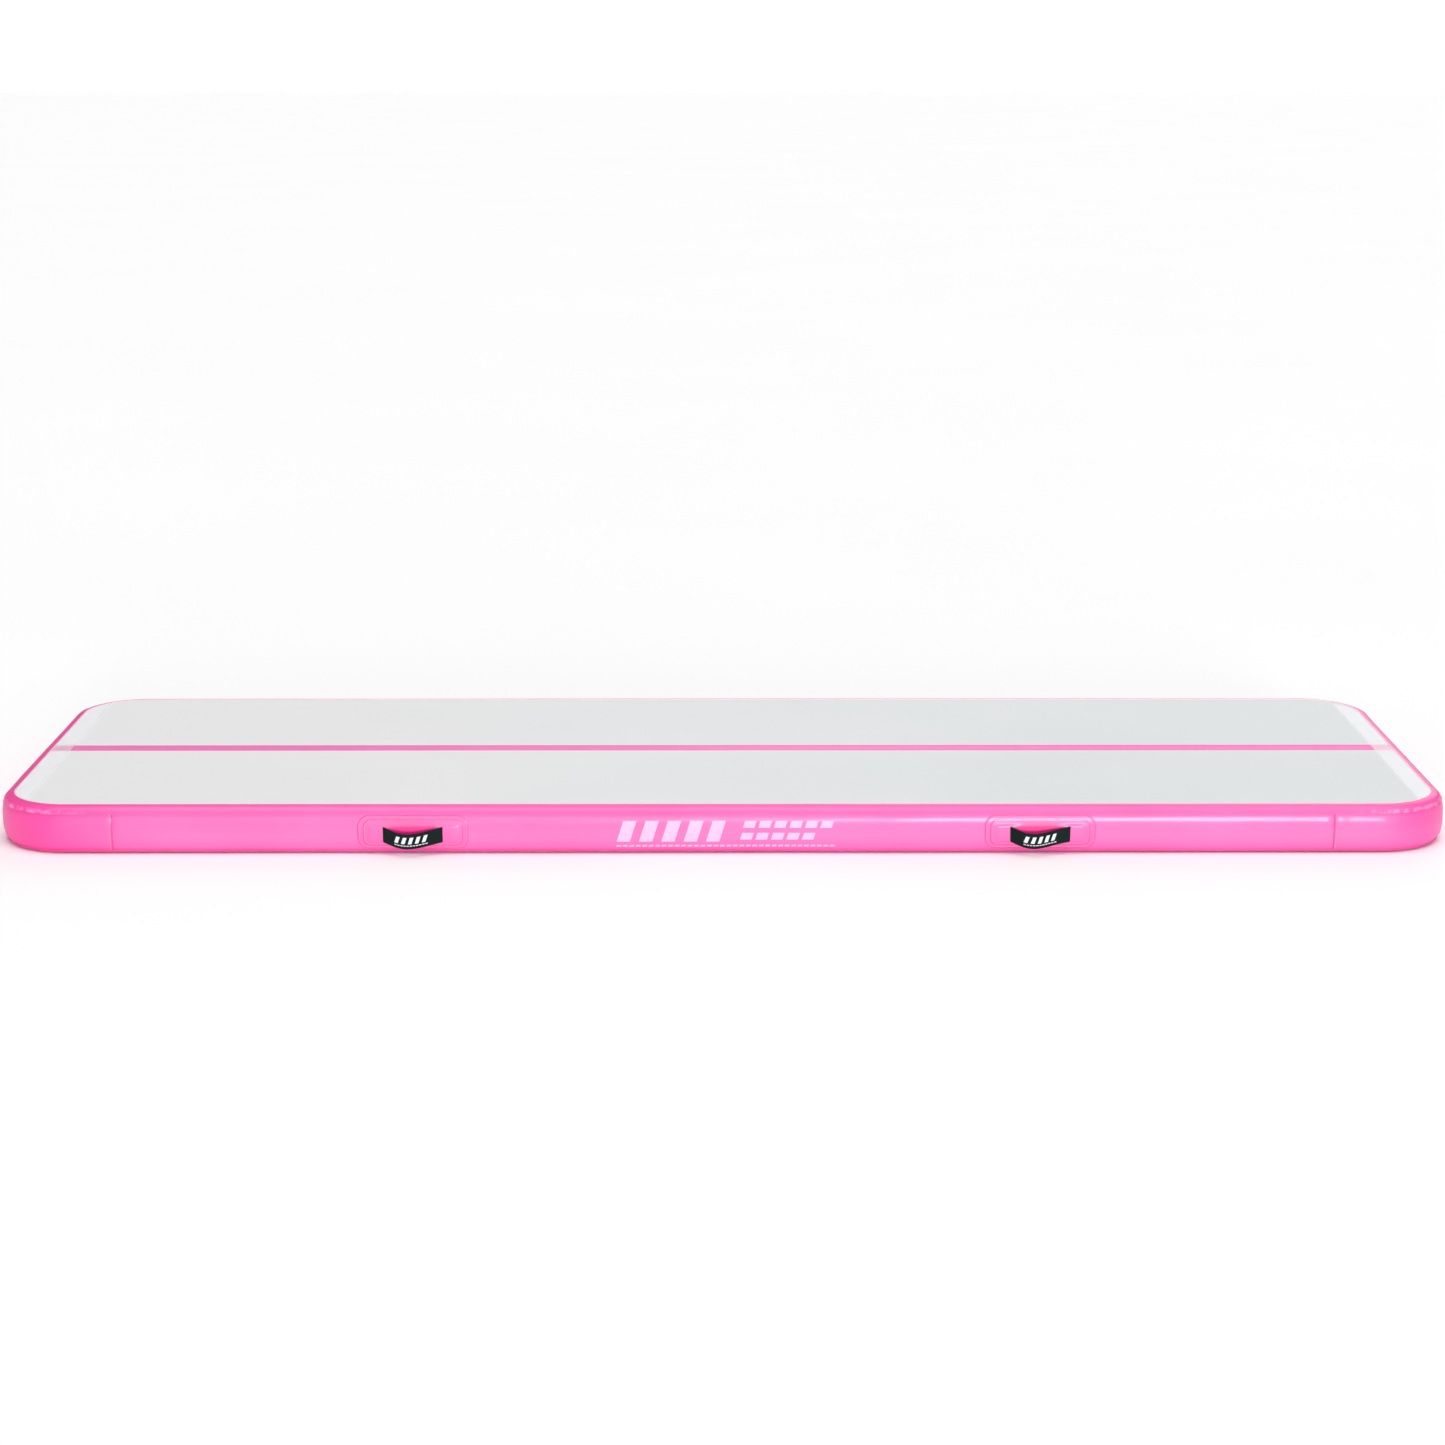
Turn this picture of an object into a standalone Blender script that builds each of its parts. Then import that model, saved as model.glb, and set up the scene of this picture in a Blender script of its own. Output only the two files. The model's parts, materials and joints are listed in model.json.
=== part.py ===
"""Inflatable air track mat: a drop-stitch chamber with a light grey deck and a pink centre line,
pink side walls and seam tapes, four webbing carry handles and a capped inflation valve.

Metres, +Z up. The origin is the centre of the underside, +X runs along the mat to the valve end,
and -Y is the front long side.
"""

import math

import bmesh
import bpy
from mathutils import Vector

# Overall sizes of the inflated chamber
LENGTH = 3.0
WIDTH = 1.0
HEIGHT = 0.1
CORNER_RADIUS = 0.155  # plan radius of the outermost corner
BULGE = 0.030  # how far the side wall stands out from the edge of the deck
BULGE_POWER = 2.8  # superellipse power of the side wall's section: 2 is an ellipse

# Sheet thicknesses
GAP = 0.0003  # clearance between pieces that are glued face to face
SHEET = 0.0009  # PVC sheet of deck, base, side wall and tapes
CLOTH = 0.0006  # one woven face of the drop-stitch fabric
FILM = 0.0002  # clear film let into the ends of the deck
SKIN_DEPTH = SHEET + GAP  # the side wall's outer face lies this far under the tapes' outer face

# Layout
LINE_WIDTH = 0.050  # centre line
FILM_WIDTH = 0.041  # clear end film, along X
LIP = 0.018  # the side wall's lips reach this far under the deck and over the base
WALL_ANGLES = (90, 79, 68, 57, 46, 35, 18, 0, -18, -35, -52, -65, -78, -90)  # up the wall's section
TOP_TAPE_EDGE = 35  # angle of the section where the top tape ends
BOTTOM_TAPE_EDGE = -52
SEAM_X = 1.245  # butt seams of the side wall, from the middle of the mat
BACKING_WIDTH = 0.050  # strip behind each butt seam

# Drop-stitch yarn bundles
YARN_SIDE = 0.008
YARN_COLUMNS = 15
YARN_ROWS = 5
YARN_PITCH_X = 0.182
YARN_PITCH_Y = 0.195

# Handles
HANDLE_X = {"left": -0.632, "right": 0.6455}  # middles of the handles along each side
STRAP_DROP = 0.0063  # the strap sits this far below the middle of the wall
STRAP_WIDTH = 0.031
STRAP_THICKNESS = 0.0014
STRAP_HALF_SPAN = 0.0595  # from the strap's middle to where it leaves its slot
STRAP_SLOT = 0.008  # width of the slot in the cover patch
STRAP_TAIL = 0.024  # length of strap glued in under the cover patch
STRAP_BOW = 0.025  # how far the middle of the strap stands out from its ends
STRAP_DROOP = math.radians(19.5)  # the bow leans this far below horizontal
GRIP_HALF = 0.023  # the swinging middle of the strap, half its length
PATCH_DROP = 0.003  # the patches are centred this far below the middle of the wall
BASE_PATCH = (0.113, 0.0355, 0.024)  # half length, half height, corner radius
COVER_PATCH = (0.102, 0.0275, 0.017)
PATCH = 0.0008  # patch thickness

# Valve, measured from its axis and from the mat's outermost end
VALVE_Z = HEIGHT / 2
VALVE_PATCH = (0.064, 0.0325, 0.024)
FLANGE_RADIUS = 0.0300
RECESS_RADIUS = 0.0255
BARREL_RADIUS = 0.019
THROAT_RADIUS = 0.016
SEAT_RADIUS = 0.014
HOLE_RADIUS = BARREL_RADIUS + 0.0006
BARREL_END = -0.030
RECESS_FLOOR = 0.0015
FLANGE_FACE = 0.0048
BUTTON_TOP = -0.005
CAP_RADIUS = RECESS_RADIUS - 0.0004
CAP_SKIRT_RADIUS = THROAT_RADIUS - 0.0004
CAP_TOP = 0.0064
ARM_TOP = 0.0130
POST_TOP = 0.0160
STEM_RADIUS = 0.003
TETHER_TURN = math.radians(-62)  # the tether leaves the cap this far round from straight up
TETHER_SLACK = 0.012  # height of the tether's loop, which lets the cap lift clear
ANCHOR_OUT = 0.0370

ROUND_STEPS = 8  # segments in each plan corner

INNER_X = LENGTH / 2 - BULGE
INNER_Y = WIDTH / 2 - BULGE
INNER_RADIUS = CORNER_RADIUS - BULGE
MID = HEIGHT / 2


# ---------------------------------------------------------------- materials


def material(name, colour, roughness, metallic=0.0, alpha=1.0):
    made = bpy.data.materials.new(name)
    made.use_nodes = True
    shader = made.node_tree.nodes["Principled BSDF"]
    shader.inputs["Base Color"].default_value = (*colour, 1.0)
    shader.inputs["Roughness"].default_value = roughness
    shader.inputs["Metallic"].default_value = metallic
    shader.inputs["Alpha"].default_value = alpha
    return made


# ---------------------------------------------------------------- shape helpers


def named_object(name, mesh, finish):
    mesh.name = name
    thing = bpy.data.objects.new(name, mesh)
    bpy.context.scene.collection.objects.link(thing)
    mesh.materials.append(finish)
    return thing


def mesh_of(points, faces):
    """A closed mesh from its points and faces, with every face turned outwards."""
    mesh = bpy.data.meshes.new("shape")
    mesh.from_pydata([tuple(p) for p in points], [], faces)
    work = bmesh.new()
    work.from_mesh(mesh)
    bmesh.ops.recalc_face_normals(work, faces=work.faces)
    work.to_mesh(mesh)
    work.free()
    return mesh


def wall_point(angle, depth):
    """(outward distance from the deck's edge, height) on the wall's section, depth under its outer face."""
    c, s = math.cos(math.radians(angle)), math.sin(math.radians(angle))
    x = BULGE * abs(c) ** (2 / BULGE_POWER)
    z = math.copysign(MID * abs(s) ** (2 / BULGE_POWER), s)
    normal = Vector(
        (
            x ** (BULGE_POWER - 1) / BULGE**BULGE_POWER,
            math.copysign(abs(z) ** (BULGE_POWER - 1) / MID**BULGE_POWER, s),
        )
    ).normalized()
    return x - depth * normal.x, MID + z - depth * normal.y


def wall_path(start, end, depth):
    """Section points from one angle to another, at the angles all layers share."""
    angles = [a for a in WALL_ANGLES if min(start, end) <= a <= max(start, end)]
    return [wall_point(a, depth) for a in (angles if start > end else angles[::-1])]


def skin_table(reach, per_degree):
    """Arc lengths from mid-height up the side wall's outer face, with the section's points and normals."""
    rows = []
    travelled = 0.0
    last = None
    for i in range(-reach * per_degree, reach * per_degree + 1):
        here = Vector(wall_point(i / per_degree, SKIN_DEPTH))
        above = Vector(wall_point(i / per_degree, 0))
        if last is not None:
            travelled += (here - last).length
        rows.append((travelled, here, (above - here) / SKIN_DEPTH))
        last = here
    middle = rows[len(rows) // 2][0]
    return [(length - middle, here, normal) for length, here, normal in rows]


SKIN_REACH = 65
SKIN = skin_table(SKIN_REACH, 2)
# Arc heights of the wall's own section points, where anything glued on it has to bend too
WALL_ROWS = [SKIN[2 * (a + SKIN_REACH)][0] for a in WALL_ANGLES if abs(a) <= SKIN_REACH]


def skin_point(s, lift):
    """(outward, height) at arc length s above mid-height, lifted off the side wall's outer face."""
    for (s0, p0, n0), (s1, p1, n1) in zip(SKIN, SKIN[1:]):
        if s <= s1:
            break
    share = (s - s0) / (s1 - s0)
    point = p0.lerp(p1, share) + n0.lerp(n1, share) * lift
    return point.x, point.y


def stations(corners):
    """(x, y, outward normal) round the deck's edge, through the given plan corners in order."""
    found = []
    for sx, sy in corners:
        start = {(1, -1): -90, (1, 1): 0, (-1, 1): 90, (-1, -1): 180}[(sx, sy)]
        for i in range(ROUND_STEPS + 1):
            turn = math.radians(start + 90 * i / ROUND_STEPS)
            nx, ny = math.cos(turn), math.sin(turn)
            x = sx * (INNER_X - INNER_RADIUS) + INNER_RADIUS * nx
            y = sy * (INNER_Y - INNER_RADIUS) + INNER_RADIUS * ny
            found.append((x, y, nx, ny))
    return found


def strip_round(outer, inner, places, closed):
    """A strip with these outer and inner section points, carried along the stations."""
    loop = outer + inner[::-1]
    size, half = len(loop), len(outer)
    points = [(x + nx * out, y + ny * out, z) for x, y, nx, ny in places for out, z in loop]
    faces = []
    count = len(places)
    for i in range(count if closed else count - 1):
        a, b = i * size, (i + 1) % count * size
        faces += [(a + j, a + (j + 1) % size, b + (j + 1) % size, b + j) for j in range(size)]
    if not closed:
        for first in (0, (count - 1) * size):
            faces += [
                (first + j, first + j + 1, first + size - 2 - j, first + size - 1 - j)
                for j in range(half - 1)
            ]
    return mesh_of(points, faces)


def rounded_outline(half_x, half_y, radius, steps=ROUND_STEPS):
    outline = []
    for sx, sy, start in ((1, -1, -90), (1, 1, 0), (-1, 1, 90), (-1, -1, 180)):
        for i in range(steps + 1):
            turn = math.radians(start + 90 * i / steps)
            x = sx * (half_x - radius) + radius * math.cos(turn)
            outline.append((x, sy * (half_y - radius) + radius * math.sin(turn)))
    return outline


def slab(outline, low, high):
    """A flat sheet with this plan outline."""
    count = len(outline)
    points = [(x, y, z) for z in (low, high) for x, y in outline]
    faces = [tuple(range(count)), tuple(range(2 * count - 1, count - 1, -1))]
    faces += [(i, (i + 1) % count, count + (i + 1) % count, count + i) for i in range(count)]
    return mesh_of(points, faces)


def clipped(outline, axis, low, high):
    """The part of a convex outline between two lines across x (axis 0) or y (axis 1)."""
    for limit, sign in ((low, 1), (high, -1)):
        kept = []
        for a, b in zip(outline, outline[1:] + outline[:1]):
            da, db = sign * (a[axis] - limit), sign * (b[axis] - limit)
            if da >= 0:
                kept.append(a)
            if da * db < 0:
                share = da / (da - db)
                kept.append((a[0] + (b[0] - a[0]) * share, a[1] + (b[1] - a[1]) * share))
        outline = kept
    return outline


class Side:
    """A straight stretch of side wall: u runs along it, and out is away from the mat."""

    def __init__(self, x, y, along, outward):
        self.origin = Vector((x, y, 0))
        self.along = Vector((*along, 0))
        self.outward = Vector((*outward, 0))

    def place(self, u, out, z):
        return self.origin + self.along * u + self.outward * out + Vector((0, 0, z))

    def on_skin(self, u, s, lift):
        return self.place(u, *skin_point(s, lift))


def rows_of_patch(half_height, radius, middle, cuts):
    """Arc heights of a patch's rows: at its corners' turns, at its slots and over the wall's own points."""
    turns = [half_height - radius + radius * math.sin(math.radians(a)) for a in (0, 30, 60, 90)]
    rows = {round(middle + v, 6) for t in turns for v in (t, -t)} | {round(c, 6) for c in cuts}
    for s in WALL_ROWS:
        if abs(s - middle) < half_height and min(abs(s - row) for row in rows) > 0.0015:
            rows.add(round(s, 6))
    return sorted(rows)


def patch_half_length(s, half_length, half_height, radius):
    into_corner = max(0.0, abs(s) - (half_height - radius))
    return half_length - radius + math.sqrt(max(0.0, radius**2 - into_corner**2))


def patch_mesh(side, shape, middle, low, high, cuts=(), slots=()):
    """A sheet glued on the side wall: shape is (half length, half height, corner radius).
    cuts are more arc heights to bend it at; slots are (from u, to u, from s, to s) windows in it."""
    rows = rows_of_patch(*shape[1:], middle, [*cuts, *(s for slot in slots for s in slot[2:])])
    inner_columns = sorted({u for slot in slots for u in slot[:2]})
    points, index = [], {}
    for i, s in enumerate(rows):
        reach = patch_half_length(s - middle, *shape)
        for j, u in enumerate([-reach, *inner_columns, reach]):
            for k, lift in enumerate((low, high)):
                index[i, j, k] = len(points)
                points.append(side.on_skin(u, s, lift))
    columns = len(inner_columns) + 1

    def solid(i, j):
        if not (0 <= i < len(rows) - 1 and 0 <= j < columns):
            return False
        if j in (0, columns - 1):
            return True
        u = (inner_columns[j - 1] + inner_columns[j]) / 2
        s = (rows[i] + rows[i + 1]) / 2
        return not any(a < u < b and c < s < d for a, b, c, d in slots)

    faces = []
    for i in range(len(rows) - 1):
        for j in range(columns):
            if not solid(i, j):
                continue
            corners = ((i, j), (i, j + 1), (i + 1, j + 1), (i + 1, j))
            faces.append(tuple(index[a, b, 1] for a, b in corners))
            faces.append(tuple(index[a, b, 0] for a, b in reversed(corners)))
            beyond = ((i - 1, j), (i, j + 1), (i + 1, j), (i, j - 1))
            for n, cell in enumerate(beyond):
                if not solid(*cell):
                    a, b = corners[n], corners[(n + 1) % 4]
                    faces.append((index[*a, 0], index[*b, 0], index[*b, 1], index[*a, 1]))
    return mesh_of(points, faces)


def revolved(profile, steps, base_x=LENGTH / 2):
    """A turned piece on the valve's axis. profile is a closed loop of (radius, x from the mat's end)."""
    size = len(profile)
    points, ring = [], []
    for i in range(steps):
        turn = 2 * math.pi * i / steps
        ring.append([])
        for n, (radius, x) in enumerate(profile):
            if radius == 0 and i > 0:
                ring[i].append(ring[0][n])
                continue
            ring[i].append(len(points))
            y, z = radius * math.sin(turn), radius * math.cos(turn)
            points.append((base_x + x, y, VALVE_Z + z))
    faces = []
    for i in range(steps):
        here, there = ring[i], ring[(i + 1) % steps]
        for n in range(size):
            m = (n + 1) % size
            face = []
            for v in (here[n], here[m], there[m], there[n]):
                if v not in face:
                    face.append(v)
            if len(face) > 2:
                faces.append(tuple(face))
    return mesh_of(points, faces)


def prism_x(outline, low, high):
    """An outline in (y, z) about the valve's axis, extruded along X from the mat's end."""
    count = len(outline)
    points = [(LENGTH / 2 + x, y, VALVE_Z + z) for x in (low, high) for y, z in outline]
    faces = [tuple(range(count)), tuple(range(2 * count - 1, count - 1, -1))]
    faces += [(i, (i + 1) % count, count + (i + 1) % count, count + i) for i in range(count)]
    return mesh_of(points, faces)


def helper(name, mesh):
    """A cutter or a shape to be joined: not a piece of the mat."""
    thing = bpy.data.objects.new(name, mesh)
    bpy.context.scene.collection.objects.link(thing)
    thing.hide_render = True
    thing.display_type = "WIRE"
    return thing


def boolean(thing, operation, other):
    step = thing.modifiers.new(operation.title(), "BOOLEAN")
    step.operation = operation
    step.object = other
    step.solver = "EXACT"


# ---------------------------------------------------------------- chamber


def build_deck(finishes):
    """Two grey deck panels with the pink centre line let in between them, and clear films at the ends."""
    outline = rounded_outline(INNER_X - GAP, INNER_Y - GAP, INNER_RADIUS - GAP)
    low, high = HEIGHT - SHEET, HEIGHT
    film_start = INNER_X - FILM_WIDTH
    recesses = []
    for sx, end in ((-1, "left"), (1, "right")):
        block = [(-1, -1), (1, -1), (1, 1), (-1, 1)]
        middle = sx * (film_start - GAP + FILM_WIDTH)
        recess = slab(
            [(middle + x * FILM_WIDTH, y * WIDTH) for x, y in block], high - FILM - GAP, high + FILM
        )
        recesses.append(helper(f"film_recess_{end}", recess))
    half_line = LINE_WIDTH / 2
    bands = (
        ("deck_front", -WIDTH, -half_line - GAP, "deck"),
        ("centre_line", -half_line, half_line, "pink"),
        ("deck_rear", half_line + GAP, WIDTH, "deck"),
    )
    for name, from_y, to_y, slot in bands:
        panel = slab(clipped(outline, 1, from_y, to_y), low, high)
        panel = named_object(name, panel, finishes[slot])
        for recess in recesses:
            boolean(panel, "DIFFERENCE", recess)
    for name, from_x, to_x in (
        ("end_film_left", -LENGTH, -film_start),
        ("end_film_right", film_start, LENGTH),
    ):
        sheet = slab(clipped(outline, 0, from_x, to_x), high - FILM, high)
        named_object(name, sheet, finishes["film"])


def build_base(finishes):
    outline = rounded_outline(INNER_X - GAP, INNER_Y - GAP, INNER_RADIUS - GAP)
    named_object("base_sheet", slab(outline, 0, SHEET), finishes["base"])


def build_core(finishes):
    """The drop-stitch fabric: two woven faces held a set distance apart by bundles of yarn."""
    inset = LIP + 0.002
    outline = rounded_outline(INNER_X - inset, INNER_Y - inset, INNER_RADIUS - inset)
    lower = SKIN_DEPTH
    upper = HEIGHT - SKIN_DEPTH - CLOTH
    core = named_object("drop_stitch_core", slab(outline, lower, lower + CLOTH), finishes["yarn"])
    boolean(core, "UNION", helper("upper_cloth", slab(outline, upper, upper + CLOTH)))
    points, faces = [], []
    half, sunk = YARN_SIDE / 2, CLOTH / 2
    for i in range(YARN_COLUMNS):
        for j in range(YARN_ROWS):
            x = (i - (YARN_COLUMNS - 1) / 2) * YARN_PITCH_X
            y = (j - (YARN_ROWS - 1) / 2) * YARN_PITCH_Y
            first = len(points)
            for z in (lower + sunk, upper + sunk):
                points += [
                    (x + dx * half, y + dy * half, z)
                    for dx, dy in ((-1, -1), (1, -1), (1, 1), (-1, 1))
                ]
            sides = [(k, (k + 1) % 4, (k + 1) % 4 + 4, k + 4) for k in range(4)]
            faces += [
                tuple(first + v for v in face) for face in [(3, 2, 1, 0), (4, 5, 6, 7), *sides]
            ]
    boolean(core, "UNION", helper("yarn_bundles", mesh_of(points, faces)))


def wall_section(depth):
    """The side wall's section at a depth, with the lips that run in under the deck and over the base."""
    path = wall_path(90, -90, depth)
    return [(-LIP, path[0][1]), *path, (-LIP, path[-1][1])]


def build_side_walls(finishes):
    """Four lengths of side wall, butted together 255 mm from each end of the mat."""
    outer, inner = wall_section(SKIN_DEPTH), wall_section(SKIN_DEPTH + SHEET)
    reach = SEAM_X - GAP / 2
    start = SEAM_X + GAP / 2
    runs = {
        "side_wall_front": [(-reach, -INNER_Y, 0, -1), (reach, -INNER_Y, 0, -1)],
        "side_wall_rear": [(reach, INNER_Y, 0, 1), (-reach, INNER_Y, 0, 1)],
        "side_wall_right": [
            (start, -INNER_Y, 0, -1),
            *stations([(1, -1), (1, 1)]),
            (start, INNER_Y, 0, 1),
        ],
        "side_wall_left": [
            (-start, INNER_Y, 0, 1),
            *stations([(-1, 1), (-1, -1)]),
            (-start, -INNER_Y, 0, -1),
        ],
    }
    walls = {}
    for name, places in runs.items():
        walls[name] = named_object(name, strip_round(outer, inner, places, False), finishes["pink"])
    hole = revolved([(0, -0.02), (HOLE_RADIUS, -0.02), (HOLE_RADIUS, 0.02), (0, 0.02)], 32)
    boolean(walls["side_wall_right"], "DIFFERENCE", helper("valve_hole", hole))


def build_seam_backings(finishes):
    """A strip glued inside each butt seam of the side wall."""
    depth = SKIN_DEPTH + SHEET + GAP
    outer = wall_path(68, -65, depth)
    inner = wall_path(68, -65, depth + SHEET)
    half = BACKING_WIDTH / 2
    for sx, end in ((-1, "left"), (1, "right")):
        for sy, face in ((-1, "front"), (1, "rear")):
            places = [(sx * SEAM_X + d, sy * INNER_Y, 0, sy) for d in (-half, half)]
            strip = strip_round(outer, inner, places, False)
            named_object(f"seam_backing_{face}_{end}", strip, finishes["pink"])


def build_seam_tapes(finishes):
    """Tapes that run all round the mat, over the joints of deck, base and side wall."""
    places = stations([(1, -1), (1, 1), (-1, 1), (-1, -1)])
    for name, start, end in (
        ("top_seam_tape", 90, TOP_TAPE_EDGE),
        ("bottom_seam_tape", -90, BOTTOM_TAPE_EDGE),
    ):
        ring = strip_round(wall_path(start, end, 0), wall_path(start, end, SHEET), places, True)
        named_object(name, ring, finishes["pink"])


# ---------------------------------------------------------------- handles

BASE_LOW = GAP
BASE_HIGH = BASE_LOW + PATCH
TAIL_MID = BASE_HIGH + GAP + STRAP_THICKNESS / 2
COVER_LOW = BASE_HIGH + STRAP_THICKNESS + 2 * GAP
COVER_HIGH = COVER_LOW + PATCH
LEAVE_MID = COVER_HIGH + GAP + STRAP_THICKNESS / 2
STRAP_ROWS = [STRAP_WIDTH * (i / 4 - 0.5) - STRAP_DROP for i in range(5)]  # arc heights across the strap


def strap_section(side, u, lift, rise):
    """The strap's section at u: lift is off the wall, and rise is along the bow's leaning direction."""
    out_shift, drop = rise * math.cos(STRAP_DROOP), rise * math.sin(STRAP_DROOP)
    half = STRAP_THICKNESS / 2
    inner = [skin_point(s, lift - half) for s in STRAP_ROWS]
    outer = [skin_point(s, lift + half) for s in reversed(STRAP_ROWS)]
    return [side.place(u, out + out_shift, z - drop) for out, z in inner + outer]


def strap_mesh(side, steps):
    """A length of strap through (u, lift, rise) steps."""
    points, faces = [], []
    for u, lift, rise in steps:
        points += strap_section(side, u, lift, rise)
    size = 2 * len(STRAP_ROWS)
    last = size * (len(steps) - 1)
    for a in range(0, last, size):
        b = a + size
        faces += [(a + k, a + (k + 1) % size, b + (k + 1) % size, b + k) for k in range(size)]
    for first in (0, last):
        faces += [
            (first + k, first + k + 1, first + size - 2 - k, first + size - 1 - k)
            for k in range(len(STRAP_ROWS) - 1)
        ]
    return mesh_of(points, faces)


def bow(u):
    return STRAP_BOW * math.cos(math.pi * u / (2 * STRAP_HALF_SPAN)) ** 2


def leg_steps(direction):
    """From the end of the glued tail, up through the slot, to the start of the grip."""
    leave = STRAP_HALF_SPAN
    enter = leave + STRAP_SLOT - 0.002
    steps = [(enter + STRAP_TAIL, TAIL_MID, 0), (enter, TAIL_MID, 0)]
    count = 7
    for i in range(count + 1):
        u = leave + (GRIP_HALF + GAP - leave) * i / count
        steps.append((u, LEAVE_MID, bow(u)))
    return [(direction * u, lift, rise) for u, lift, rise in steps]


def grip_steps():
    count = 8
    places = [GRIP_HALF * (2 * i / count - 1) for i in range(count + 1)]
    return [(u, LEAVE_MID, bow(u)) for u in places]


def build_handles(finishes):
    """Each handle is a base patch, a slotted cover patch and a webbing strap: two glued legs and a grip."""
    slot_s = (-STRAP_DROP - STRAP_WIDTH / 2 - 0.001, -STRAP_DROP + STRAP_WIDTH / 2 + 0.001)
    near, far = STRAP_HALF_SPAN - 0.001, STRAP_HALF_SPAN + STRAP_SLOT - 0.001
    slots = [(-far, -near, *slot_s), (near, far, *slot_s)]
    for end, middle in HANDLE_X.items():
        for sy, face in ((-1, "front"), (1, "rear")):
            side = Side(middle, sy * INNER_Y, (-sy, 0), (0, sy))
            place = f"{face}_{end}"
            base = patch_mesh(side, BASE_PATCH, -PATCH_DROP, BASE_LOW, BASE_HIGH, STRAP_ROWS)
            cover = patch_mesh(
                side, COVER_PATCH, -PATCH_DROP, COVER_LOW, COVER_HIGH, STRAP_ROWS, slots
            )
            named_object(f"handle_base_patch_{place}", base, finishes["pink"])
            named_object(f"handle_cover_patch_{place}", cover, finishes["pink"])
            grip = strap_mesh(side, grip_steps())
            named_object(f"handle_grip_{place}", grip, finishes["webbing"])
            for direction, leg in ((-1, "a"), (1, "b")):
                strap = strap_mesh(side, leg_steps(direction))
                named_object(f"handle_leg_{leg}_{place}", strap, finishes["webbing"])


# ---------------------------------------------------------------- valve


def wall_cutter(name, lift_low, lift_high, rows):
    """A block that follows the end wall between two lifts off its outer face, bent at these arc heights."""
    side = Side(INNER_X, 0, (0, 1), (1, 0))
    points = [side.on_skin(u, s, lift) for u in (-0.05, 0.05) for lift in (lift_low, lift_high) for s in rows]
    size = len(rows)
    loop = list(range(size)) + list(range(2 * size - 1, size - 1, -1))
    other = [v + 2 * size for v in loop]
    faces = [tuple(reversed(loop)), tuple(other)]
    faces += [
        (loop[i], loop[(i + 1) % len(loop)], other[(i + 1) % len(loop)], other[i])
        for i in range(len(loop))
    ]
    return helper(name, mesh_of(points, faces))


def build_valve_body(finishes):
    """Patch on the wall, flange and barrel outside, ring nut inside, and the guide for the stem."""
    side = Side(INNER_X, 0, (0, 1), (1, 0))
    patch = named_object(
        "valve_patch", patch_mesh(side, VALVE_PATCH, 0, GAP, GAP + PATCH), finishes["pink"]
    )
    hole = revolved([(0, -0.02), (HOLE_RADIUS, -0.02), (HOLE_RADIUS, 0.02), (0, 0.02)], 32)
    boolean(patch, "DIFFERENCE", helper("patch_hole", hole))

    rim = FLANGE_RADIUS - 0.0015
    flange = revolved(
        [
            (SEAT_RADIUS, BARREL_END),
            (BARREL_RADIUS, BARREL_END),
            (BARREL_RADIUS, -0.008),
            (FLANGE_RADIUS, -0.008),
            (FLANGE_RADIUS, FLANGE_FACE - 0.0015),
            (rim, FLANGE_FACE),
            (RECESS_RADIUS, FLANGE_FACE),
            (RECESS_RADIUS, RECESS_FLOOR),
            (THROAT_RADIUS, RECESS_FLOOR),
            (THROAT_RADIUS, BARREL_END + 0.002),
            (SEAT_RADIUS, BARREL_END + 0.002),
        ],
        36,
    )
    ring_cut = revolved(
        [
            (BARREL_RADIUS, -0.012),
            (FLANGE_RADIUS + 0.01, -0.012),
            (FLANGE_RADIUS + 0.01, 0.012),
            (BARREL_RADIUS, 0.012),
        ],
        36,
    )
    body = named_object("valve_flange", flange, finishes["rim"])
    patch_rows = rows_of_patch(*VALVE_PATCH[1:], 0, ())
    wall = wall_cutter("wall_under_flange", -0.02, 2 * GAP + PATCH, patch_rows)
    boolean(wall, "INTERSECT", helper("flange_ring_zone", ring_cut))
    boolean(body, "DIFFERENCE", wall)

    nut = revolved(
        [
            (BARREL_RADIUS + GAP, -0.0150),
            (FLANGE_RADIUS - 0.002, -0.0150),
            (FLANGE_RADIUS, -0.0130),
            (FLANGE_RADIUS, 0.002),
            (BARREL_RADIUS + GAP, 0.002),
        ],
        36,
    )
    nut = named_object("valve_ring_nut", nut, finishes["valve"])
    boolean(nut, "DIFFERENCE", wall_cutter("wall_over_nut", -SHEET - GAP, 0.02, sorted(WALL_ROWS)))

    guide = revolved(
        [
            (THROAT_RADIUS - GAP, -0.0240),
            (THROAT_RADIUS - GAP, -0.0200),
            (THROAT_RADIUS - 0.002, -0.0200),
            (THROAT_RADIUS - 0.002, -0.0240),
        ],
        28,
    )
    guide = named_object("valve_guide", guide, finishes["valve"])
    hub = [(0.0034, -0.0240), (0.0060, -0.0240), (0.0060, -0.0200), (0.0034, -0.0200)]
    boolean(guide, "UNION", helper("guide_hub", revolved(hub, 16)))
    for n in range(3):
        turn = 2 * math.pi * n / 3
        across = Vector((math.cos(turn), math.sin(turn))) * 0.0015
        out = Vector((-math.sin(turn), math.cos(turn)))
        start, stop = out * 0.0050, out * (THROAT_RADIUS - 0.001)
        outline = [start - across, start + across, stop + across, stop - across]
        spoke = prism_x([tuple(p) for p in outline], -0.0235, -0.0205)
        boolean(guide, "UNION", helper(f"guide_spoke_{n}", spoke))


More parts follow.
